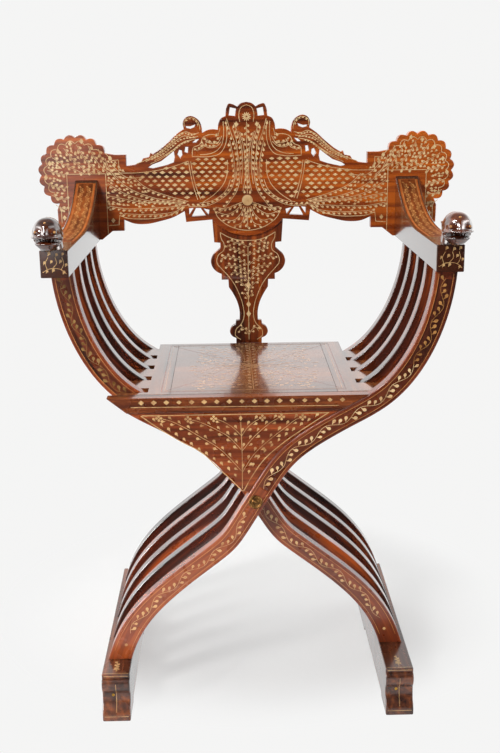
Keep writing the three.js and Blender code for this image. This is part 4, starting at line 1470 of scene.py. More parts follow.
@dataclass
class CarvedHead:
    """A beast's head with a wide mouth, on a neck that stands on the arm.

    Args:
        side: 1 for the right head, -1 for the left.
        name: Which head.
        body: Body that it moves with.
        half_sizes: Half its width, depth and height.
        rows: Rings of points from crown to chin.
        columns: Points round each ring.
        mouth: Height of the mouth, as a share of half the height.
        voxel: Size of the grid that joins head and neck in one skin.
        lift: How far the neck stays above the arm's top.
        beads: Places of the beads in its eyes and on its forehead.
        bead_sizes: Half a bead's width, depth and height.
    """

    side: int
    name: str
    body: str
    half_sizes: tuple = (21.6, 25.6, 24.2)
    rows: int = 90
    columns: int = 140
    mouth: float = -0.34
    voxel: float = 0.9
    lift: float = 0.9
    beads: tuple = ((13.6, 8.2, 31), (-13.6, 8.2, 31), (0, 12.6, 43.2))
    bead_sizes: tuple = (2, 1.6, 1.8)

    def skull(self) -> tuple[Points, np.ndarray]:
        """A rounded lump whose radius swells at lips, nose and brows and sinks at mouth and eyes.

        With azimuth a and polar angle p, the direction is (sin p sin a, -sin p cos a, cos p). The point is
        direction * half sizes * (1 + swell), where swell is a sum of bell curves of height and azimuth.

        Returns:
            Points about the head's middle and quads.
        """
        p, a = np.linspace(0.02, math.pi - 0.02, self.rows)[:, None], full_turn(self.columns)
        height = np.cos(p)
        from_mouth = height - self.mouth - 0.1 * np.cos(a) ** 2 + 0.04 * bell_curve(a, 0.3)
        lips = -0.62 * bell_curve(from_mouth, 0.09) + 0.16 * bell_curve(from_mouth - 0.19, 0.1)
        lips += 0.05 * bell_curve(from_mouth + 0.22, 0.1)
        swell = lips * np.sqrt(np.clip(np.cos(a), 0, 1))
        swell += 0.07 * bell_curve(a, 0.16) * bell_curve(height - 0.1, 0.34)
        swell += 0.24 * bell_curve(height - 0.2, 0.2) * bell_curve(np.abs(a) - 0.66, 0.27)
        swell -= 0.17 * bell_curve(height - 0.2, 0.34) * bell_curve(np.abs(a) - 0.66, 0.44)
        swell += 0.05 * bell_curve(height - 0.62, 0.12) * bell_curve(a, 0.8)
        square = 1 / np.maximum(np.abs(np.sin(a)), np.abs(np.cos(a))) ** 0.2
        spread = np.sin(p) ** 0.9 * (1 + swell) * square
        jaw = 1 - 0.3 * np.clip(-height - 0.4, 0, 1)
        lump = paired(spread * np.sin(a) * jaw, -spread * np.cos(a), height)
        return wrapped(lump * np.array(self.half_sizes))

    def neck(self) -> tuple[Points, np.ndarray]:
        """An upright rounded block, (|x|/a)^4 + (|y|/b)^4 = 1 across, narrower at its waist.

        Returns:
            Points above the neck's foot and quads.
        """
        t, a = np.linspace(1, 0, 14)[:, None], full_turn(56)
        across, deep = (np.sign(share) * np.abs(share) ** 0.6 for share in (np.sin(a), -np.cos(a)))
        waist = 1 - 0.12 * np.sin(math.pi * t)
        return wrapped(paired(16.5 * across * waist, 19 * deep * waist, 30 * t))

    def build(self) -> None:
        """Makes the head with its neck in one skin, and three small beads in its eyes and forehead."""
        node = f"{self.name}_arm_head"
        low, high = box_mm(node)
        middle = (low[0] + high[0]) / 2
        (skull, skull_quads), (neck, neck_quads) = self.skull(), self.neck()
        neck = neck + np.array([middle, high[1] - 21, low[2] + self.lift])
        points = np.concatenate([skull + np.array([middle, low[1] + 30.2, low[2] + 25.3]), neck])
        points[:, 2] = np.maximum(points[:, 2], low[2] + self.lift)
        faces = [skull_quads, neck_quads + len(skull)]
        head = make_piece(f"{node}_carving", points, faces, self.body, HEAD_WOOD, node=node)
        settle(head, "REMESH", mode="VOXEL", voxel_size=self.voxel * MM, use_smooth_shade=True)
        settle(head, "SMOOTH", factor=0.5, iterations=3)
        p, a = np.linspace(0.05, math.pi - 0.05, 12)[:, None], full_turn(20)
        ball = paired(np.sin(p) * np.sin(a), -np.sin(p) * np.cos(a), np.cos(p))
        bead, quads = wrapped(ball * np.array(self.bead_sizes))
        places = np.array(self.beads) + np.array([middle, low[1], low[2]])
        points = (bead[None] + places[:, None]).reshape(-1, 3)
        quads = (quads[None] + len(bead) * np.arange(len(places))[:, None, None]).reshape(-1, 4)
        make_piece(f"{self.name}_beads", points, [quads], self.body, AMBER)


@dataclass
class Seat:
    """The lift-up seat: a middle board, two toothed ends and a front rail.

    Args:
        body: Body that it moves with.
        line: Edges of the slats that pass between the teeth.
        thickness: How thick its boards are.
        panel_half: Half the width of the middle board.
        comb_end: Reach of the teeth from the middle.
        gap: Distance between a notch's end and its slat.
        side_gap: Distance between a notch's sides and its slat.
        notch_slope: How far a notch's end moves out from the underside to the top.
        joint: Half the gap between the boards.
        margin: Distance of the border from the front and rear edges, and past the middle board's sides.
        rays: Reach and rise of the curved stems from the middle.
    """

    body: str = "seat"
    line: SlatLine = SlatLine()
    thickness: float = 12.0
    panel_half: float = 128.0
    comb_end: float = 209.0
    gap: float = 3.5
    side_gap: float = 1.5
    notch_slope: float = 13.0
    joint: float = 0.3
    margin: float = 14.0
    rays: tuple = ((34, 96), (70, 66), (92, 34))

    def build(self) -> None:
        """Makes the four boards and their inlay."""
        low, high = box_mm("seat_panel")
        half = self.panel_half
        panel = np.array([[-half, low[1]], [half, low[1]], [half, high[1]], [-half, high[1]]])
        board = Board.of("seat_panel", Facing.TOP, panel, edge=0.5)
        board.build("seat_middle_board", self.body, SEAT_WOOD, GrainAlong.X.of(12))
        for side, name in ((1, "right"), (-1, "left")):
            self.end_board(side, name)
        self.dress(Plane.of("seat_panel", Facing.TOP), low[1] + self.margin, high[1] - self.margin)
        self.rail()

    def end_board(self, side: int, name: str) -> None:
        """A toothed end: straight inner edge, and a notch for every slat that passes.

        The notches' inner ends move out by slope * (1 - depth / thickness), so that they stay near the
        slats.

        Args:
            side: 1 for the right end, -1 for the left.
            name: Which end.
        """
        node = f"seat_{name}_comb"
        (_, front, under), (_, back, top) = box_mm(node)
        inner = self.panel_half + self.joint
        notch = self.line.x_at(1, top - self.thickness) - self.gap
        rows = [(inner, front)]
        for k in range(1, 6):
            start, end = box_mm(f"{name}_slat_{k}")[:, 1] + self.side_gap * np.array([-1, 1])
            if start > front:
                rows.extend([(self.comb_end, rows[-1][1]), (self.comb_end, start), (notch, start)])
            if end < back:
                rows.append((notch, end))
        outline = flipped([*rows, (rows[-1][0], back), (inner, back)], side)
        points, faces, normals = Board.of(node, Facing.TOP, outline, edge=0.6).mesh()
        at_notch = (np.abs(np.abs(points[:, 0]) - notch) < 1.5) & (points[:, 1] > front + 5)
        share = (points[:, 2] - under) / self.thickness
        points[:, 0] += side * np.where(at_notch, self.notch_slope * share, 0)
        grain = GrainAlong.Y.of(40 * side)(points)
        make_piece(f"{node}_board", points, faces, self.body, SEAT_WOOD, normals, grain, node)

    def dress(self, top: Plane, front: float, back: float) -> None:
        """Thin borders, a flowering stem from front to back, and sprays that curl to both sides.

        Args:
            top: The seat's top.
            front: Place of the border's front line.
            back: Place of its rear line.
        """
        pale, dark = Inlay(top, THIN_PROUD), Inlay(top, 0.06)
        half, middle = self.panel_half + self.margin, (front + back) / 2
        for inset, drawing, width in ((0, dark, 1.6), (5, pale, 0.9)):
            x, near, far = half - inset, front + inset, back - inset
            ring = [(-x, near), (x, near), (x, far), (-x, far)]
            for k in range(4):
                drawing.line([ring[k - 1], ring[k]], width)
        pale.sprig(np.array([[0, front + 8], [0, back - 8]]), Sprig(18, (10, 5), 2.4, 1.4, 6))
        for flip in (1, -1):
            for corner in (back - 6, front + 6):
                dark.line([(0, middle), (flip * (half - 6), corner)], 1.2)
            for turn in (1, -1):
                for reach, rise in self.rays:
                    bend = (0.62 * reach * flip, middle + 0.28 * rise * turn)
                    pale.line(smooth([(0, middle), bend, (reach * flip, middle + rise * turn)]), 1)
        columns, rows = (grid.ravel() for grid in np.meshgrid(np.arange(-6, 7), np.arange(-9, 10)))
        grid = paired(columns * 16 + 8 * (rows % 2), rows * 15 + middle)
        spots = grid[np.abs(grid[:, 0]) > 12] * 0.97 + 0.03 * middle * UP
        spots = spots + chance.uniform(-3, 3, spots.shape)
        swirl = 2.4 * np.sin(spots[:, 0] / 27) + 2 * np.cos(spots[:, 1] / 31)
        pale.leaves(spots, paired(np.cos(swirl), np.sin(swirl)), 11, 5.4, 0.5)
        pale.line(arc((0, middle), 17, 0, 360, 41), 1.2)
        pale.petals([(0, middle)], 8, 14)
        pale.build("seat_inlay", self.body, SEAT_BONE)
        dark.build("seat_lines", self.body, BAND_WOOD, GrainAlong.X.of(5))

    def rail(self) -> None:
        """The front rail: level faces, ends that follow the slats, and a row of squares over a line."""
        node = "seat_front_rail"
        (left, _, under), (_, _, top) = box_mm(node)
        right = [self.line.x_at(1, z) for z in (under, top)]
        outline = [(left + 29.3, under), (right[0] - 0.5, under), (right[1] - 0.5, top), (left, top)]
        board = Board.of(node, Facing.FRONT, np.array(outline))
        board.build("seat_rail", self.body, RAIL_WOOD, GrainAlong.X.of(77))
        lines = Inlay(board.plane)
        lines.diamonds(paired(np.linspace(left + 52, right[0] + 2, 17), top - 7), ACROSS, 8.2, 7.4)
        lines.line([(left + 36, top - 14), (right[0] - 4, top - 16)], 0.9)
        lines.build("seat_rail_inlay", self.body, DIM_BONE)


@dataclass
class Apron:
    """The three-sided board below the seat, between the foremost slat and the left ones.

    Args:
        body: Body that it moves with.
        line: Edges of the slats beside it.
        tip: Height of its lower end.
        top: Height of its upper edge.
        left_start: Height where its left edge starts.
        left_gap: Distance between its left edge and the slats behind.
        right_gap: Distance between its right edge and the foremost slat.
        branches: Stems of the tree, each with a flower at its end.
        frame: Its border lines.
        borders: Rows of leaves along the border, with the side that bears them.
    """

    body: str = "right_arm_frame"
    line: SlatLine = SlatLine()
    tip: float = 359.5
    top: float = 489.5
    left_start: float = 375.0
    left_gap: float = 2.0
    right_gap: float = 0.5
    branches: tuple = (
        ((-20, 452), (-35, 467), (-52, 477), (-62, 480)),
        ((-21, 430), (-39, 450), (-61, 464), (-86, 476), (-101, 480)),
        ((-21, 395), (-36, 413), (-52, 430), (-87, 454), (-109, 468), (-132, 479), (-145, 482)),
        ((-20, 452), (-9, 467), (3, 476), (12, 480)),
        ((-19, 428), (-2, 449), (14, 464), (30, 476), (41, 481)),
        ((-19, 394), (-2, 421), (24, 446), (48, 465), (64, 477), (73, 480)),
    )
    frame: tuple = (
        ((-18, 362), (-6, 384), (14, 413), (44, 440), (84, 468), (113, 487)),
        ((-20, 362), (-37, 381), (-56, 400), (-80, 425), (-115, 446), (-144, 465), (-172, 486)),
        ((-170, 486.3), (112, 486.3)),
    )
    borders: tuple = (
        (((-12, 384), (6, 414), (36, 441), (74, 468), (98, 482)), 1),
        (((-26, 380), (-42, 397), (-64, 414), (-96, 437), (-126, 458), (-156, 480)), -1),
    )

    def outline(self) -> Points:
        """Right edge along the foremost slat, left edge along the slats behind, and a level top."""
        right = self.line.between(1, self.tip, self.top, self.right_gap)
        left = flipped(self.line.between(-1, self.left_start, self.top)) + self.left_gap * ACROSS
        return np.concatenate([[[right[0, 0] - 2, self.tip]], right, left[::-1]])

    def build(self) -> None:
        """Makes the apron and its tree: a stem with branches to both sides, flowers and a border."""
        board = Board.of("apron", Facing.FRONT, self.outline(), edge=1)
        board.build("apron_board", self.body, APRON_WOOD, GrainAlong.X.of(130))
        lines = Inlay(board.plane)
        lines.line(smooth([(-20, 366), (-19.5, 420), (-21, 474)]), 1)
        lines.diamonds(np.array([[-21, 480]]), UP, 9, 6)
        for branch in self.branches:
            lines.sprig(smooth(branch)[:-3], Sprig(15, (6.6, 4.1), 2.8, 0.7, 5))
        lines.petals([branch[-1] for branch in self.branches], 4, 5.4)
        for path in self.frame:
            lines.line(smooth(path) if len(path) > 2 else path, 1.2)
        for border, side in self.borders:
            lines.sprig(smooth(border), Sprig(14.5, (6.6, 4.1), 1, 0, 6), (side,))
        lines.build("apron_inlay", self.body, DIM_BONE)


@dataclass
class Crest:
    """The fretted crest board: birds, scalloped lobes, openings and dense inlay.

    Its outline is given in shares of the half width and height, from the middle of its underside, and its
    inlay in millimetres. Both are for the right half.

    Args:
        body: Body that it moves with.
        half_width: Half its width.
        height: Its height.
        bowl: Half width, top and depth of the arc in the underside.
        lobe: Middle x and z, radius, bulge of a scallop, first and last angle, and number of scallops.
        curves: Smooth runs of the outline from the top to the bird's tail.
        tail: The tail's steps.
        foot: Corners from the lobe to the belly.
        belly: Smooth run under the tail.
        ear: Corners beside the bowl.
        openings: Openings of the fretwork.
        borders: Border lines of the inlay's fields.
        frames: Lines with corners.
        bowl_inner: Line along the bowl.
        feathers: Sprigs and the side that bears leaves.
        lobe_stems: Stems in the lobes.
        centre_stems: Stems in the middle.
        squares: Places of upright squares.
        fields: Fields that hold the lattice.
        tail_field: Field that small leaves fill.
        block: Corner to which the lobe's field of small leaves is pulled.
        bird_lines: Outlines of the birds.
        bird_rows: Rows of feathers on them.
        rim: Least distance of the leaves from the edge.
        clear: Least distance from leaf to leaf.
        bird_clear: Least distance from leaf to leaf on the birds.
    """

    body: str = "crest"
    half_width: float = 370.0
    height: float = 239.0
    bowl: tuple = (64, 735, 30)
    lobe: tuple = (304, 820, 61.9, 5.5, 146, -58, 11)
    curves: tuple = (
        ((0, 1), (0.027, 0.99), (0.044, 0.968)),
        ((0.044, 0.968), (0.066, 0.985), (0.085, 0.988), (0.094, 0.965), (0.101, 0.9)),
        ((0.101, 0.9), (0.121, 0.885), (0.134, 0.85), (0.138, 0.803)),
        ((0.138, 0.803), (0.16, 0.807), (0.19, 0.8), (0.212, 0.782)),
        (
            (0.212, 0.782), (0.214, 0.825), (0.224, 0.866), (0.243, 0.892),
            (0.268, 0.904), (0.292, 0.89), (0.304, 0.858), (0.3, 0.812),
        ),
        ((0.3, 0.812), (0.333, 0.777), (0.375, 0.718), (0.42, 0.662)),
    )
    tail: tuple = (
        (0.42, 0.662), (0.452, 0.632), (0.463, 0.641), (0.47, 0.611), (0.499, 0.602),
        (0.507, 0.58), (0.539, 0.556), (0.58, 0.548), (0.58, 0.63), (0.634, 0.63),
    )
    foot: tuple = (
        (0.922, 0.231), (0.92, 0.103), (0.83, 0.08), (0.83, 0.002),
        (0.711, 0.002), (0.659, 0.066), (0.602, 0.067), (0.601, 0.15),
    )
    belly: tuple = (
        (0.601, 0.15), (0.557, 0.122), (0.49, 0.116), (0.423, 0.136),
        (0.362, 0.163), (0.315, 0.2), (0.306, 0.208),
    )
    ear: tuple = ((0.306, 0.208), (0.3, 0.126), (0.173, 0.1423))
    openings: tuple = (
        ((0.05, 0.952), (0.078, 0.962), (0.084, 0.905), (0.055, 0.9)),
        ((0.244, 0.842), (0.25, 0.823), (0.268, 0.812), (0.286, 0.818), (0.29, 0.832), (0.27, 0.829)),
        ((0.228, 0.738), (0.244, 0.733), (0.26, 0.712), (0.243, 0.713)),
        ((0.281, 0.68), (0.294, 0.682), (0.299, 0.645), (0.284, 0.637)),
        ((0.312, 0.656), (0.324, 0.661), (0.333, 0.628), (0.321, 0.603), (0.31, 0.624)),
        (
            (0.35, 0.652), (0.387, 0.608), (0.413, 0.579), (0.455, 0.556), (0.476, 0.534),
            (0.453, 0.528), (0.387, 0.551), (0.353, 0.57), (0.347, 0.608),
        ),
        ((0.186, 0.216), (0.214, 0.226), (0.19, 0.178)),
        ((0.228, 0.23), (0.25, 0.23), (0.272, 0.167), (0.203, 0.174)),
        ((0.262, 0.232), (0.284, 0.228), (0.284, 0.18)),
    )
    borders: tuple = (
        ((104, 839), (101, 818), (96, 794), (89, 771)),
        ((100, 839), (97, 818), (92, 795), (84, 772)),
        ((36, 904), (35, 881), (39, 864), (49, 851), (64, 847), (97, 847)),
        ((41, 907), (41, 881), (45, 866), (53, 857), (69, 851), (83, 850)),
        ((35, 840), (35, 819), (42, 799), (57, 782), (80, 766)),
        ((49, 883), (62, 885), (77, 880), (83, 868), (95, 862), (97, 848)),
        ((105, 839), (135, 829), (165, 823), (194, 820), (228, 820)),
        ((116, 759), (136, 746), (158, 740), (191, 738), (220, 741), (230, 745)),
        ((12, 906), (13, 921), (9, 931), (0, 935)),
    )
    frames: tuple = (
        ((228, 820), (228, 843), (239, 842), (251, 855)),
        ((230, 745), (232, 728), (250, 727)),
        ((252, 712), (252, 819), (321, 819), (321, 728)),
        ((336, 762), (334, 752), (334, 732)),
    )
    bowl_inner: tuple = ((0, 715), (16, 717), (31, 722), (44, 730), (54, 740), (60, 754))
    feathers: tuple = (
        (((14, 890), (6, 865), (3.5, 838), (3.5, 809), (8, 785)), -1),
        (
            (
                (35, 912), (28, 888), (19, 864), (14, 838), (13, 809),
                (19, 785), (31, 768), (44, 753), (54, 746),
            ),
            1,
        ),
        (((30, 874), (23, 838), (22, 809), (30, 787), (48, 771), (72, 760), (106, 759)), 1),
        (((106, 768), (150, 781), (184, 796), (204, 814)), -1),
        (((116, 768), (170, 776), (214, 795), (240, 819), (252, 846)), -1),
        (((114, 766), (185, 772), (220, 784), (249, 802)), -1),
        (((111, 764), (150, 766), (185, 768), (249, 780)), -1),
        (((109, 761), (170, 757), (220, 757), (249, 762)), -1),
        (((114, 759), (126, 752), (151, 747), (190, 746), (222, 748)), -1),
        (((9, 766), (24, 760), (40, 755), (58, 757)), -1),
        (((9, 762), (22, 751), (38, 744), (53, 748)), -1),
        (((6, 759), (13, 744), (27, 733), (42, 736)), -1),
        (((3, 757), (6, 741), (12, 728), (24, 724)), -1),
        (((22, 905), (17, 890), (11, 872), (8, 850), (8, 822), (11, 798)), 1),
        (((25, 896), (19, 878), (17, 850), (18, 824), (20, 806)), -1),
        (((45, 872), (54, 864), (66, 862), (80, 868)), 1),
        (((44, 882), (50, 872), (62, 869), (74, 874)), 1),
        (((47, 895), (50, 884)), 1),
        (((69, 876), (78, 862), (90, 857)), 1),
        (((30, 806), (36, 790), (50, 776), (70, 767), (86, 765)), -1),
        (((184, 812), (214, 812), (240, 834)), -1),
    )
    lobe_stems: tuple = (
        ((263, 862), (256, 842), (245, 825), (229, 811)),
        ((281, 869), (271, 848), (258, 831), (243, 818)),
        ((301, 870), (290, 849), (277, 834), (259, 821)),
        ((324, 864), (309, 845), (294, 831), (276, 820)),
        ((345, 848), (325, 836), (306, 827), (291, 820)),
        ((355, 826), (338, 821), (322, 818)),
        ((357, 803), (339, 797), (323, 794)),
        ((350, 783), (337, 777), (323, 775)),
        ((343, 765), (334, 759), (324, 757)),
    )
    centre_stems: tuple = (((0, 906), (0, 781)), ((0, 757), (0, 719)))
    squares: tuple = (
        (18, 902), (292, 876), (312, 872), (334, 859), (350, 838), (358, 814),
        (243, 846), (236, 834), (329, 742), (329, 728), (242, 736),
    )
    fields: tuple = (
        ((36, 846), (37, 820), (44, 801), (60, 783), (82, 770), (88, 778), (93, 797), (98, 843)),
        (
            (106, 838), (105, 815), (100, 793), (98, 776), (112, 775),
            (150, 787), (184, 802), (206, 818), (160, 824),
        ),
    )
    tail_field: tuple = (
        (112, 768), (150, 782), (184, 797), (206, 813), (236, 842),
        (250, 846), (250, 750), (222, 748), (151, 749), (126, 755),
    )
    block: tuple = (324, 820)
    bird_lines: tuple = (
        ((82, 893), (84, 904), (91, 912), (101, 914), (109, 909), (110, 899)),
        ((84, 888), (95, 886), (107, 890), (118, 886), (134, 873), (150, 859), (172, 845), (196, 836)),
        ((96, 876), (110, 873), (124, 864), (140, 852), (156, 842), (172, 835)),
        ((86, 882), (97, 880), (110, 883), (122, 877), (138, 864), (158, 850), (180, 839)),
        ((90, 877), (102, 875), (116, 870), (130, 860), (146, 850), (164, 841)),
    )
    bird_rows: tuple = (
        ((88, 885), (98, 883), (110, 886), (120, 881), (134, 869), (150, 856), (168, 846), (186, 838)),
        ((90, 879), (104, 878), (118, 874), (132, 863), (148, 851), (166, 843)),
        ((86, 898), (90, 907), (98, 911), (106, 907), (110, 900)),
        ((104, 892), (112, 892), (116, 888)),
        ((100, 873), (112, 869), (126, 859), (140, 850)),
    )
    rim: float = 2.4
    clear: float = 4.6
    bird_clear: float = 3.4

    def sized(self, shares: Sequence) -> Points:
        """Shares turned into places in the board's face."""
        return np.array(shares, float) * np.array([self.half_width, self.height]) + BACK_BASE * UP

    def scallops(self, shrink: float = 0.0) -> Points:
        """The lobe's edge: radius + bulge * |sin(pi n u)| for a share u of its turn, n scallops in all.

        Args:
            shrink: Distance inside the edge.

        Returns:
            The points, from the upper end to the lower one.
        """
        x, z, radius, bulge, start, end, count = self.lobe
        rays = arc((0, 0), 1, start, end, count * 9 + 1)
        swell = bulge * np.abs(np.sin(math.pi * count * np.linspace(0, 1, len(rays))))
        return np.array([x, z]) + (radius - shrink + swell)[:, None] * rays

    def bowl_line(self, grow: float = 0.0) -> Points:
        """The bowl's arc from right to left: radius = (w^2 + s^2) / 2 s + grow.

        Args:
            grow: Distance outside the bowl's edge.

        Returns:
            Its points.
        """
        half, top, sag = self.bowl
        radius = (half**2 + sag**2) / (2 * sag)
        sweep = math.degrees(math.asin(half / (radius + grow)))
        return arc((0, top - sag + radius), radius + grow, sweep - 90, -sweep - 90, 33)

    def outline(self) -> Points:
        """The right half from the top round to the bowl, the bowl, and the mirrored half back."""
        right = [smooth(self.sized(run), FINE_STEP) for run in self.curves]
        right += [self.sized(self.tail), self.scallops(), self.sized(self.foot)]
        right += [smooth(self.sized(self.belly)), self.sized(self.ear)]
        return joined([*right, self.bowl_line(), *(flipped(run)[::-1] for run in right[::-1])])[::-1]

    def build(self) -> None:
        """Makes the crest board, and on it borders, lattice, feathers, flowering lobes and birds."""
        outline = self.outline()
        holes = [flipped(self.sized(hole), side) for side in (1, -1) for hole in self.openings]
        board = Board.of("crest_board", Facing.FRONT, outline, holes)
        board.build("crest_fretwork", self.body, CREST_WOOD, GrainAlong.X.of(210))
        rim = offset_loop(outline, self.rim)
        bone = Inlay(board.plane, bounds=rim, openings=holes, clear=self.clear)
        bone.lines(self.borders)
        for corners in self.frames:
            bone.lines(list(zip(corners, corners[1:])))
        for side in (1, -1):
            bone.line(flipped(self.scallops(10), side))
        bone.line(smooth([*self.bowl_inner[::-1], *flipped(self.bowl_inner)[1:]]))
        self.lattice(bone)
        for side in (1, -1):
            bone.diamonds(flipped(self.squares, side), UP, 9, 7.4)
        for path, side in self.feathers:
            bone.sprigs([path], Sprig(9.4, (6.6, 4), 1.6, 0.9, 3), side)
        bone.sprigs(self.lobe_stems, Sprig(10, (7, 4.4), 1.4, 0.9, 3))
        for path in self.centre_stems:
            bone.sprig(np.array(path, float), Sprig(9.8, (6, 3.8), 1.4, 0.9, 3))
        bone.discs([(0, 769)], 9.6)
        bone.petals([(0, 915)], 12, 8)
        self.fill(bone, np.array(self.tail_field, float), (100, 762), 2.7)
        lobe = arc(self.lobe[:2], self.lobe[2] - 13, 0, 360, 40)
        lobe[(lobe < self.block).all(axis=1)] = self.block
        self.fill(bone, lobe, (255, 815), 3.6)
        bone.clear = self.bird_clear
        bone.lines(self.bird_lines, 1)
        bone.sprigs(self.bird_rows, Sprig(5.6, (4.8, 3.2), 0.3, 0, 1), 1)
        bone.build("crest_inlay", self.body, BONE)

    def fill(self, bone: Inlay, patch: Points, root: tuple, gap: float, step: float = 6.6) -> None:
        """Small leaves on a jittered grid, pointing away from a root, where nothing is drawn yet.

        Args:
            bone: Inlay that takes the leaves.
            patch: Outline of the area on the right half.
            root: Point that the leaves point away from.
            gap: Least distance from a leaf's middle to what is drawn.
            step: Distance from leaf to leaf.
        """
        (left, bottom), (right, top) = patch.min(axis=0), patch.max(axis=0)
        x, z = np.meshgrid(np.arange(left, right, step), np.arange(bottom, top, 0.8 * step))
        spots = paired(x.ravel(), z.ravel())
        spots = spots + chance.uniform(-0.25, 0.25, spots.shape) * step
        away = unit(spots - np.array(root))
        drawn = np.concatenate([spines.reshape(-1, 2) for spines, _ in bone.strips])
        gaps = np.linalg.norm((spots + 2.6 * away)[:, None] - drawn[None], axis=-1).min(axis=1)
        kept = inside(spots, patch) & (gaps > gap)
        for flip in (1, -1):
            bone.leaves(flipped(spots[kept], flip), flipped(away[kept], flip), 5.8, 3.9, 0.3 * flip)

    def lattice(self, bone: Inlay, across: float = 14.2, up: float = 7.4) -> None:
        """Diamonds on a grid whose odd rows are moved by half a step, kept where a field covers them.

        Args:
            bone: Inlay that takes the diamonds.
            across: Distance between neighbours in a row.
            up: Distance between rows.
        """
        rows, columns = (grid.ravel() for grid in np.meshgrid(np.arange(14), np.arange(14), indexing="ij"))
        grid = paired(30 + across * (columns + 0.5 * (rows % 2)), 768 + up * rows)
        for patch in self.fields:
            spots = grid[inside(grid, np.array(patch, float))]
            for side in (1, -1):
                bone.diamonds(flipped(spots, side), ACROSS, 9.6, 5.6)


@dataclass
class Splat:
    """The splat that hangs from the crest board to the seat.

    Its outline is given in shares of the half width and drop, its inlay in millimetres, for the right half.

    Args:
        body: Body that it moves with.
        half_width: Half the width of its widest place.
        drop: How far it hangs below the crest board.
        gap: Distance between its top and the crest board's bowl.
        runs: Runs of the outline downwards. Those with more than four points are smooth.
        top_line: Border line below the bowl.
        border: Border line of the right half.
        branches: Stems to the right.
    """

    body: str = "crest"
    half_width: float = 68.0
    drop: float = 197.0
    gap: float = 0.3
    runs: tuple = (
        ((0.9, -0.04), (0.74, -0.045), (0.74, -0.09)),
        (
            (0.74, -0.09), (0.82, -0.115), (0.95, -0.16), (1, -0.21),
            (0.96, -0.27), (0.82, -0.32), (0.72, -0.335),
        ),
        ((0.72, -0.335), (0.72, -0.39), (0.54, -0.39), (0.53, -0.46)),
        ((0.53, -0.46), (0.42, -0.52), (0.31, -0.6), (0.25, -0.69), (0.25, -0.775)),
        ((0.25, -0.775), (0.35, -0.78), (0.36, -0.815)),
        ((0.36, -0.815), (0.47, -0.84), (0.52, -0.885), (0.46, -0.93), (0.35, -0.95)),
        ((0.35, -0.95), (0.35, -1)),
    )
    top_line: tuple = ((0, 696), (18, 697), (36, 703), (50, 711))
    border: tuple = (
        (50, 711), (48, 699), (44, 692), (44, 679), (54, 670), (57, 656), (49, 645), (38, 633),
        (27, 618), (17, 597), (10, 573), (9, 554), (14, 541), (24, 530), (25, 519), (15, 511),
    )
    branches: tuple = (
        ((0, 684), (10, 690), (22, 692), (34, 697)),
        ((0, 668), (12, 676), (26, 680), (38, 688)),
        ((0, 650), (12, 660), (26, 664), (38, 668), (50, 662)),
        ((0, 634), (12, 645), (26, 650), (40, 650)),
        ((0, 620), (8, 630), (18, 636), (30, 637)),
        ((0, 602), (5, 611), (12, 618), (20, 622)),
        ((0, 586), (3, 594), (9, 600)),
        ((0, 520), (6, 530), (13, 534), (18, 527)),
    )

    def outline(self) -> Points:
        """The right edge downwards, the left edge upwards and the arc under the bowl."""
        sizes = np.array([self.half_width, self.drop])
        right = [np.array(run) * sizes + BACK_BASE * UP for run in self.runs]
        right = [smooth(run, FINE_STEP) if len(run) > 4 else run for run in right]
        left = [flipped(run)[::-1] for run in right[::-1]]
        return joined([*right, *left, Crest().bowl_line(self.gap)[::-1]])[::-1]

    def build(self) -> None:
        """Makes the splat, and on it a border, a stem with diamonds and leafy branches."""
        outline = self.outline()
        board = Board.of("splat", Facing.FRONT, outline)
        board.build("splat_board", self.body, SPLAT_WOOD, GrainAlong.Z.of(60))
        bone = Inlay(board.plane, bounds=offset_loop(outline, 2.2))
        bone.lines([self.border])
        bone.line(smooth([*flipped(self.top_line)[::-1], *self.top_line[1:]]))
        bone.line([(0, 683), (0, 511)])
        bone.sprigs(self.branches, Sprig(10.5, (5.6, 4), 1.8, 0.7, 3))
        bone.diamonds(paired(0, np.array([614, 578, 560])), UP, 13, 9)
        bone.build("splat_inlay", self.body, BONE)


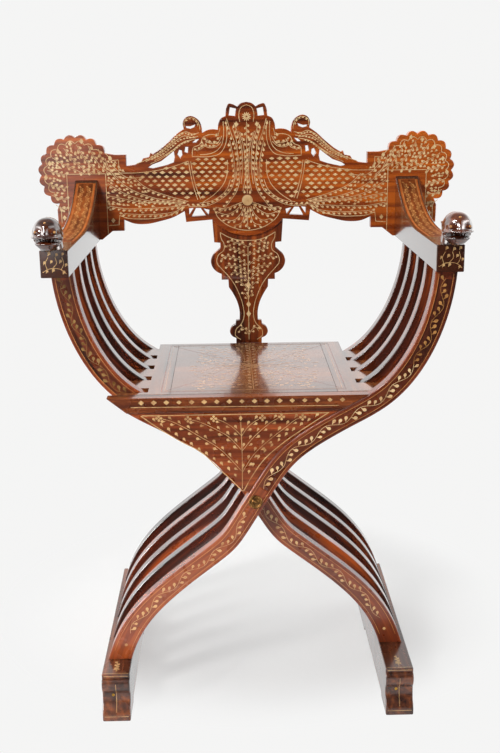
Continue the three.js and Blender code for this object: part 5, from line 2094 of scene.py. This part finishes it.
@dataclass
class Hardware:
    """The rods, pegs, dowels and rosettes.

    Args:
        dressed: Finishes of the turned parts, and the parts.
        profile: Shares of the rosette's radius and height, from its back edge to its middle.
        petals: Number of its petals.
    """

    dressed: tuple = (
        (DOWEL_WOOD, "right_head_dowel left_head_dowel rail_dowel_1 rail_dowel_2 rail_dowel_3"),
        (DOWEL_WOOD, "apron_dowel_1 apron_dowel_2 right_splat_dowel left_splat_dowel"),
        (IRON, "pivot_rod seat_hinge_rod seat_rest_rod"),
        (BRASS, "right_crest_peg left_crest_peg"),
    )
    profile: tuple = (
        (0, 0), (1, 0), (1, 0.22), (0.96, 0.42), (0.88, 0.55), (0.78, 0.55),
        (0.7, 0.4), (0.62, 0.3), (0.56, 0.34), (0.5, 0.62), (0.42, 0.72), (0.34, 0.66),
        (0.3, 0.5), (0.24, 0.6), (0.16, 0.9), (0, 1),
    )
    petals: int = 14

    def build(self) -> None:
        """Dresses the turned parts and makes the rosettes."""
        for finish, nodes in self.dressed:
            for node in nodes.split():
                solid = frame["nodes"][node]
                solid.data.materials.clear()
                solid.data.materials.append(material_of(finish))
                log.info("%s: dressed in %s", node, finish.name)
        self.rosette("front_rosette", 1)
        self.rosette("rear_rosette", -1)

    def rosette(self, node: str, way: float) -> None:
        """A turned boss: rings from a profile, whose outer bead is cut into petals.

        The height at radius share r and angle a is profile(r) * (1 - 0.3 cut), where cut is a bell curve
        about the bead times |cos(n a / 2)|^8.

        Args:
            node: Its solid.
            way: 1 for the front one, -1 for the rear one.
        """
        low, high = box_mm(node)
        radius, depth = (high[0] - low[0]) / 2, high[1] - low[1]
        profile = np.array(self.profile)
        along = stations_of(profile)
        r, z = read_off(profile, along, np.linspace(0, along[-1], 40)).T[..., None]
        a = full_turn(96)
        notch = bell_curve(r - 0.82, 0.12) * np.abs(np.cos(0.5 * self.petals * a)) ** 8
        y = (high[1] if way > 0 else low[1]) - way * depth * z * (1 - 0.3 * notch)
        x, up = way * radius * r * np.sin(a), (low[2] + high[2]) / 2 + radius * r * np.cos(a)
        points, quads = wrapped(paired(x, y, up))
        make_piece(f"{node}_boss", points, [quads[:, ::-1]], "left_arm_frame", BRONZE, node=node)


@dataclass(frozen=True)
class Lamp:
    """A square lamp.

    Args:
        name: Its name.
        place: Where it hangs, in metres.
        aim: The point that it faces.
        size: Length of its side.
        power: Its power in watts.
        spread: Angle of its beam in degrees.
        mirrored: Whether polished wood mirrors it.
    """

    name: str
    place: tuple
    aim: tuple
    size: float
    power: float
    spread: float = 180.0
    mirrored: bool = True

    def hang(self) -> None:
        """Makes the lamp at its place, turned towards its aim."""
        data = bpy.data.lights.new(self.name, "AREA")
        data.shape = "SQUARE"
        data.size, data.energy, data.spread = self.size, self.power, math.radians(self.spread)
        lamp = placed(self.name, data)
        lamp.location = self.place
        lamp.rotation_mode = "QUATERNION"
        lamp.rotation_quaternion = (Vector(self.aim) - Vector(self.place)).to_track_quat("-Z", "Y")
        lamp.visible_glossy = self.mirrored


@dataclass
class Studio:
    """The pale floor, the soft lamps, the white surroundings and the camera.

    Args:
        focal: Focal length on a sensor 36 mm along the picture's long side.
        eye: Place of the camera, in metres.
        turn: Its turn about the upright, in degrees, positive towards the left.
        dip: How far it looks down, in degrees.
        roll: Its roll, in degrees.
        reach: Half the width of the floor, in metres.
        lamps: The lamps.
    """

    focal: float = 50.01
    eye: tuple = (-0.0336, -1.6812, 0.9584)
    turn: float = -1.041
    dip: float = 15.273
    roll: float = 0.690
    reach: float = 30.0
    lamps: tuple = (
        Lamp("key_lamp", (-1.5, -1.9, 2.2), (0, 0, 0.5), 0.6, 62),
        Lamp("fill_lamp", (1.9, -1.7, 1.7), (0, 0, 0.5), 1.4, 13),
        Lamp("top_lamp", (-0.4, 0.9, 2.8), (0, 0, 0.3), 1.8, 70, mirrored=False),
        Lamp("side_panel", (-0.85, -1.95, 0.75), (-0.3, 0.2, 0.8), 0.6, 2.2),
        Lamp("low_lamp", (-1.5, -1, 0.5), (-0.2, 0, 0.18), 0.5, 1.6, 32),
    )

    def camera(self) -> None:
        """Place * turn about z * tilt about x * roll about z: an unturned camera looks straight down."""
        data = bpy.data.cameras.new("camera")
        data.sensor_width, data.lens = 36, self.focal
        camera = placed("camera", data)
        matrix = Matrix.Translation(self.eye)
        for angle, axis in ((self.turn, "Z"), (90 - self.dip, "X"), (-self.roll, "Z")):
            matrix = matrix @ Matrix.Rotation(math.radians(angle), 4, axis)
        camera.matrix_world = matrix
        bpy.context.scene.camera = camera

    def floor(self) -> None:
        """A wide floor that keeps the shadow near the chair and fades into the backdrop further off."""
        corners = np.array([[-1, -1, 0], [1, -1, 0], [1, 1, 0], [-1, 1, 0]]) * self.reach / MM
        mesh = mesh_of("studio_floor", corners, [np.array([[0, 1, 2, 3]])])
        material = bpy.data.materials.new("studio_floor")
        paint = Paint(material)
        camera, gloss = self.rays(paint)
        where = paint.node("TexCoord")["Object"]
        flat = paint.node("VectorMath", {0: where, 1: (1.25, 1.4, 0)}, operation="MULTIPLY")
        away = paint.node("VectorMath", {0: flat, 1: (0.01, 0.26, 0)}, operation="DISTANCE")[1]
        far = paint.step(away, 0.38, 0.62)
        ahead = 1 - paint.step(paint.node("SeparateXYZ", {0: where})["Y"], -1.3, -0.5)
        tone = paint.mix(gloss * ahead, (0.911, 0.911, 0.907), (0.05, 0.05, 0.05))
        plain = paint.mix(camera, (0.82, 0.82, 0.815), (0.68, 0.68, 0.675))
        matt = paint.node("BsdfDiffuse", {"Color": plain})
        glow = paint.node("Emission", {"Color": tone, "Strength": 1})
        share = camera * (far * 0.46 + 0.54) + gloss
        paint.node("OutputMaterial", {"Surface": paint.node("MixShader", {0: share, 1: matt, 2: glow})})
        mesh.materials.append(material)
        placed("studio_floor", mesh)

    @staticmethod
    def rays(paint: Paint) -> tuple[Value, Value]:
        """Tells rays from the camera, and rays from a gloss or through a clear piece, from the rest.

        Args:
            paint: Tree that takes the nodes.

        Returns:
            1 or 0 for rays from the camera, and 1 or 0 for the others.
        """
        path = paint.node("LightPath")
        gloss = path["Is Glossy Ray"] + path["Is Transmission Ray"]
        return path["Is Camera Ray"], paint.node("Math", {0: gloss, 1: 1}, operation="MINIMUM")

    def surroundings(self) -> None:
        """A white world for the camera and for gloss, and a dimmer one that lights the chair."""
        world = bpy.data.worlds.new("studio")
        bpy.context.scene.world = world
        paint = Paint(world)
        camera, gloss = self.rays(paint)
        where = paint.node("SeparateXYZ", {0: paint.node("TexCoord")["Generated"]})
        x, y, z = (where[axis] for axis in "XYZ")
        wide = x * x
        behind, aside = paint.step(y, -0.75, -0.15), paint.step(wide, 0.12, 0.6)
        below_top = 1 - paint.step(z, 0.5, 0.85) * 0.75
        panel = paint.step(wide, 0.6, 0.72) * paint.step(y, -0.62, -0.5)
        panel = panel * (1 - paint.step(y, 0, 0.12)) * (1 - paint.step(z, 0.3, 0.4))
        bright = behind * (aside * 0.9 + 1.15) * below_top + panel * 9
        strength = camera * 0.75 + gloss * (bright - 0.14) + 0.18
        back = paint.node("Background", {"Color": (0.98, 0.98, 0.975, 1), "Strength": strength})
        paint.node("OutputWorld", {"Surface": back})

    def build(self) -> None:
        """Makes the camera, the floor, the surroundings and the lamps."""
        self.camera()
        self.floor()
        self.surroundings()
        for lamp in self.lamps:
            lamp.hang()
        bpy.context.scene.view_settings.view_transform = "Standard"


def main() -> None:
    """Builds the studio and the chair, sub-assembly by sub-assembly."""
    logging.basicConfig(level=logging.INFO, format="%(name)s %(message)s")
    Studio().build()
    for side, name, foot in ((1, "right", "left_foot"), (-1, "left", "right_foot")):
        body = f"{name}_arm_frame"
        SlatSet(side, name, body).build()
        Arm(side, name, body).build()
        CarvedHead(side, name, body).build()
        Foot(foot, body).build()
    for part in (Seat(), Apron(), Crest(), Splat(), Hardware()):
        part.build()


if __name__ == "__main__":
    main()
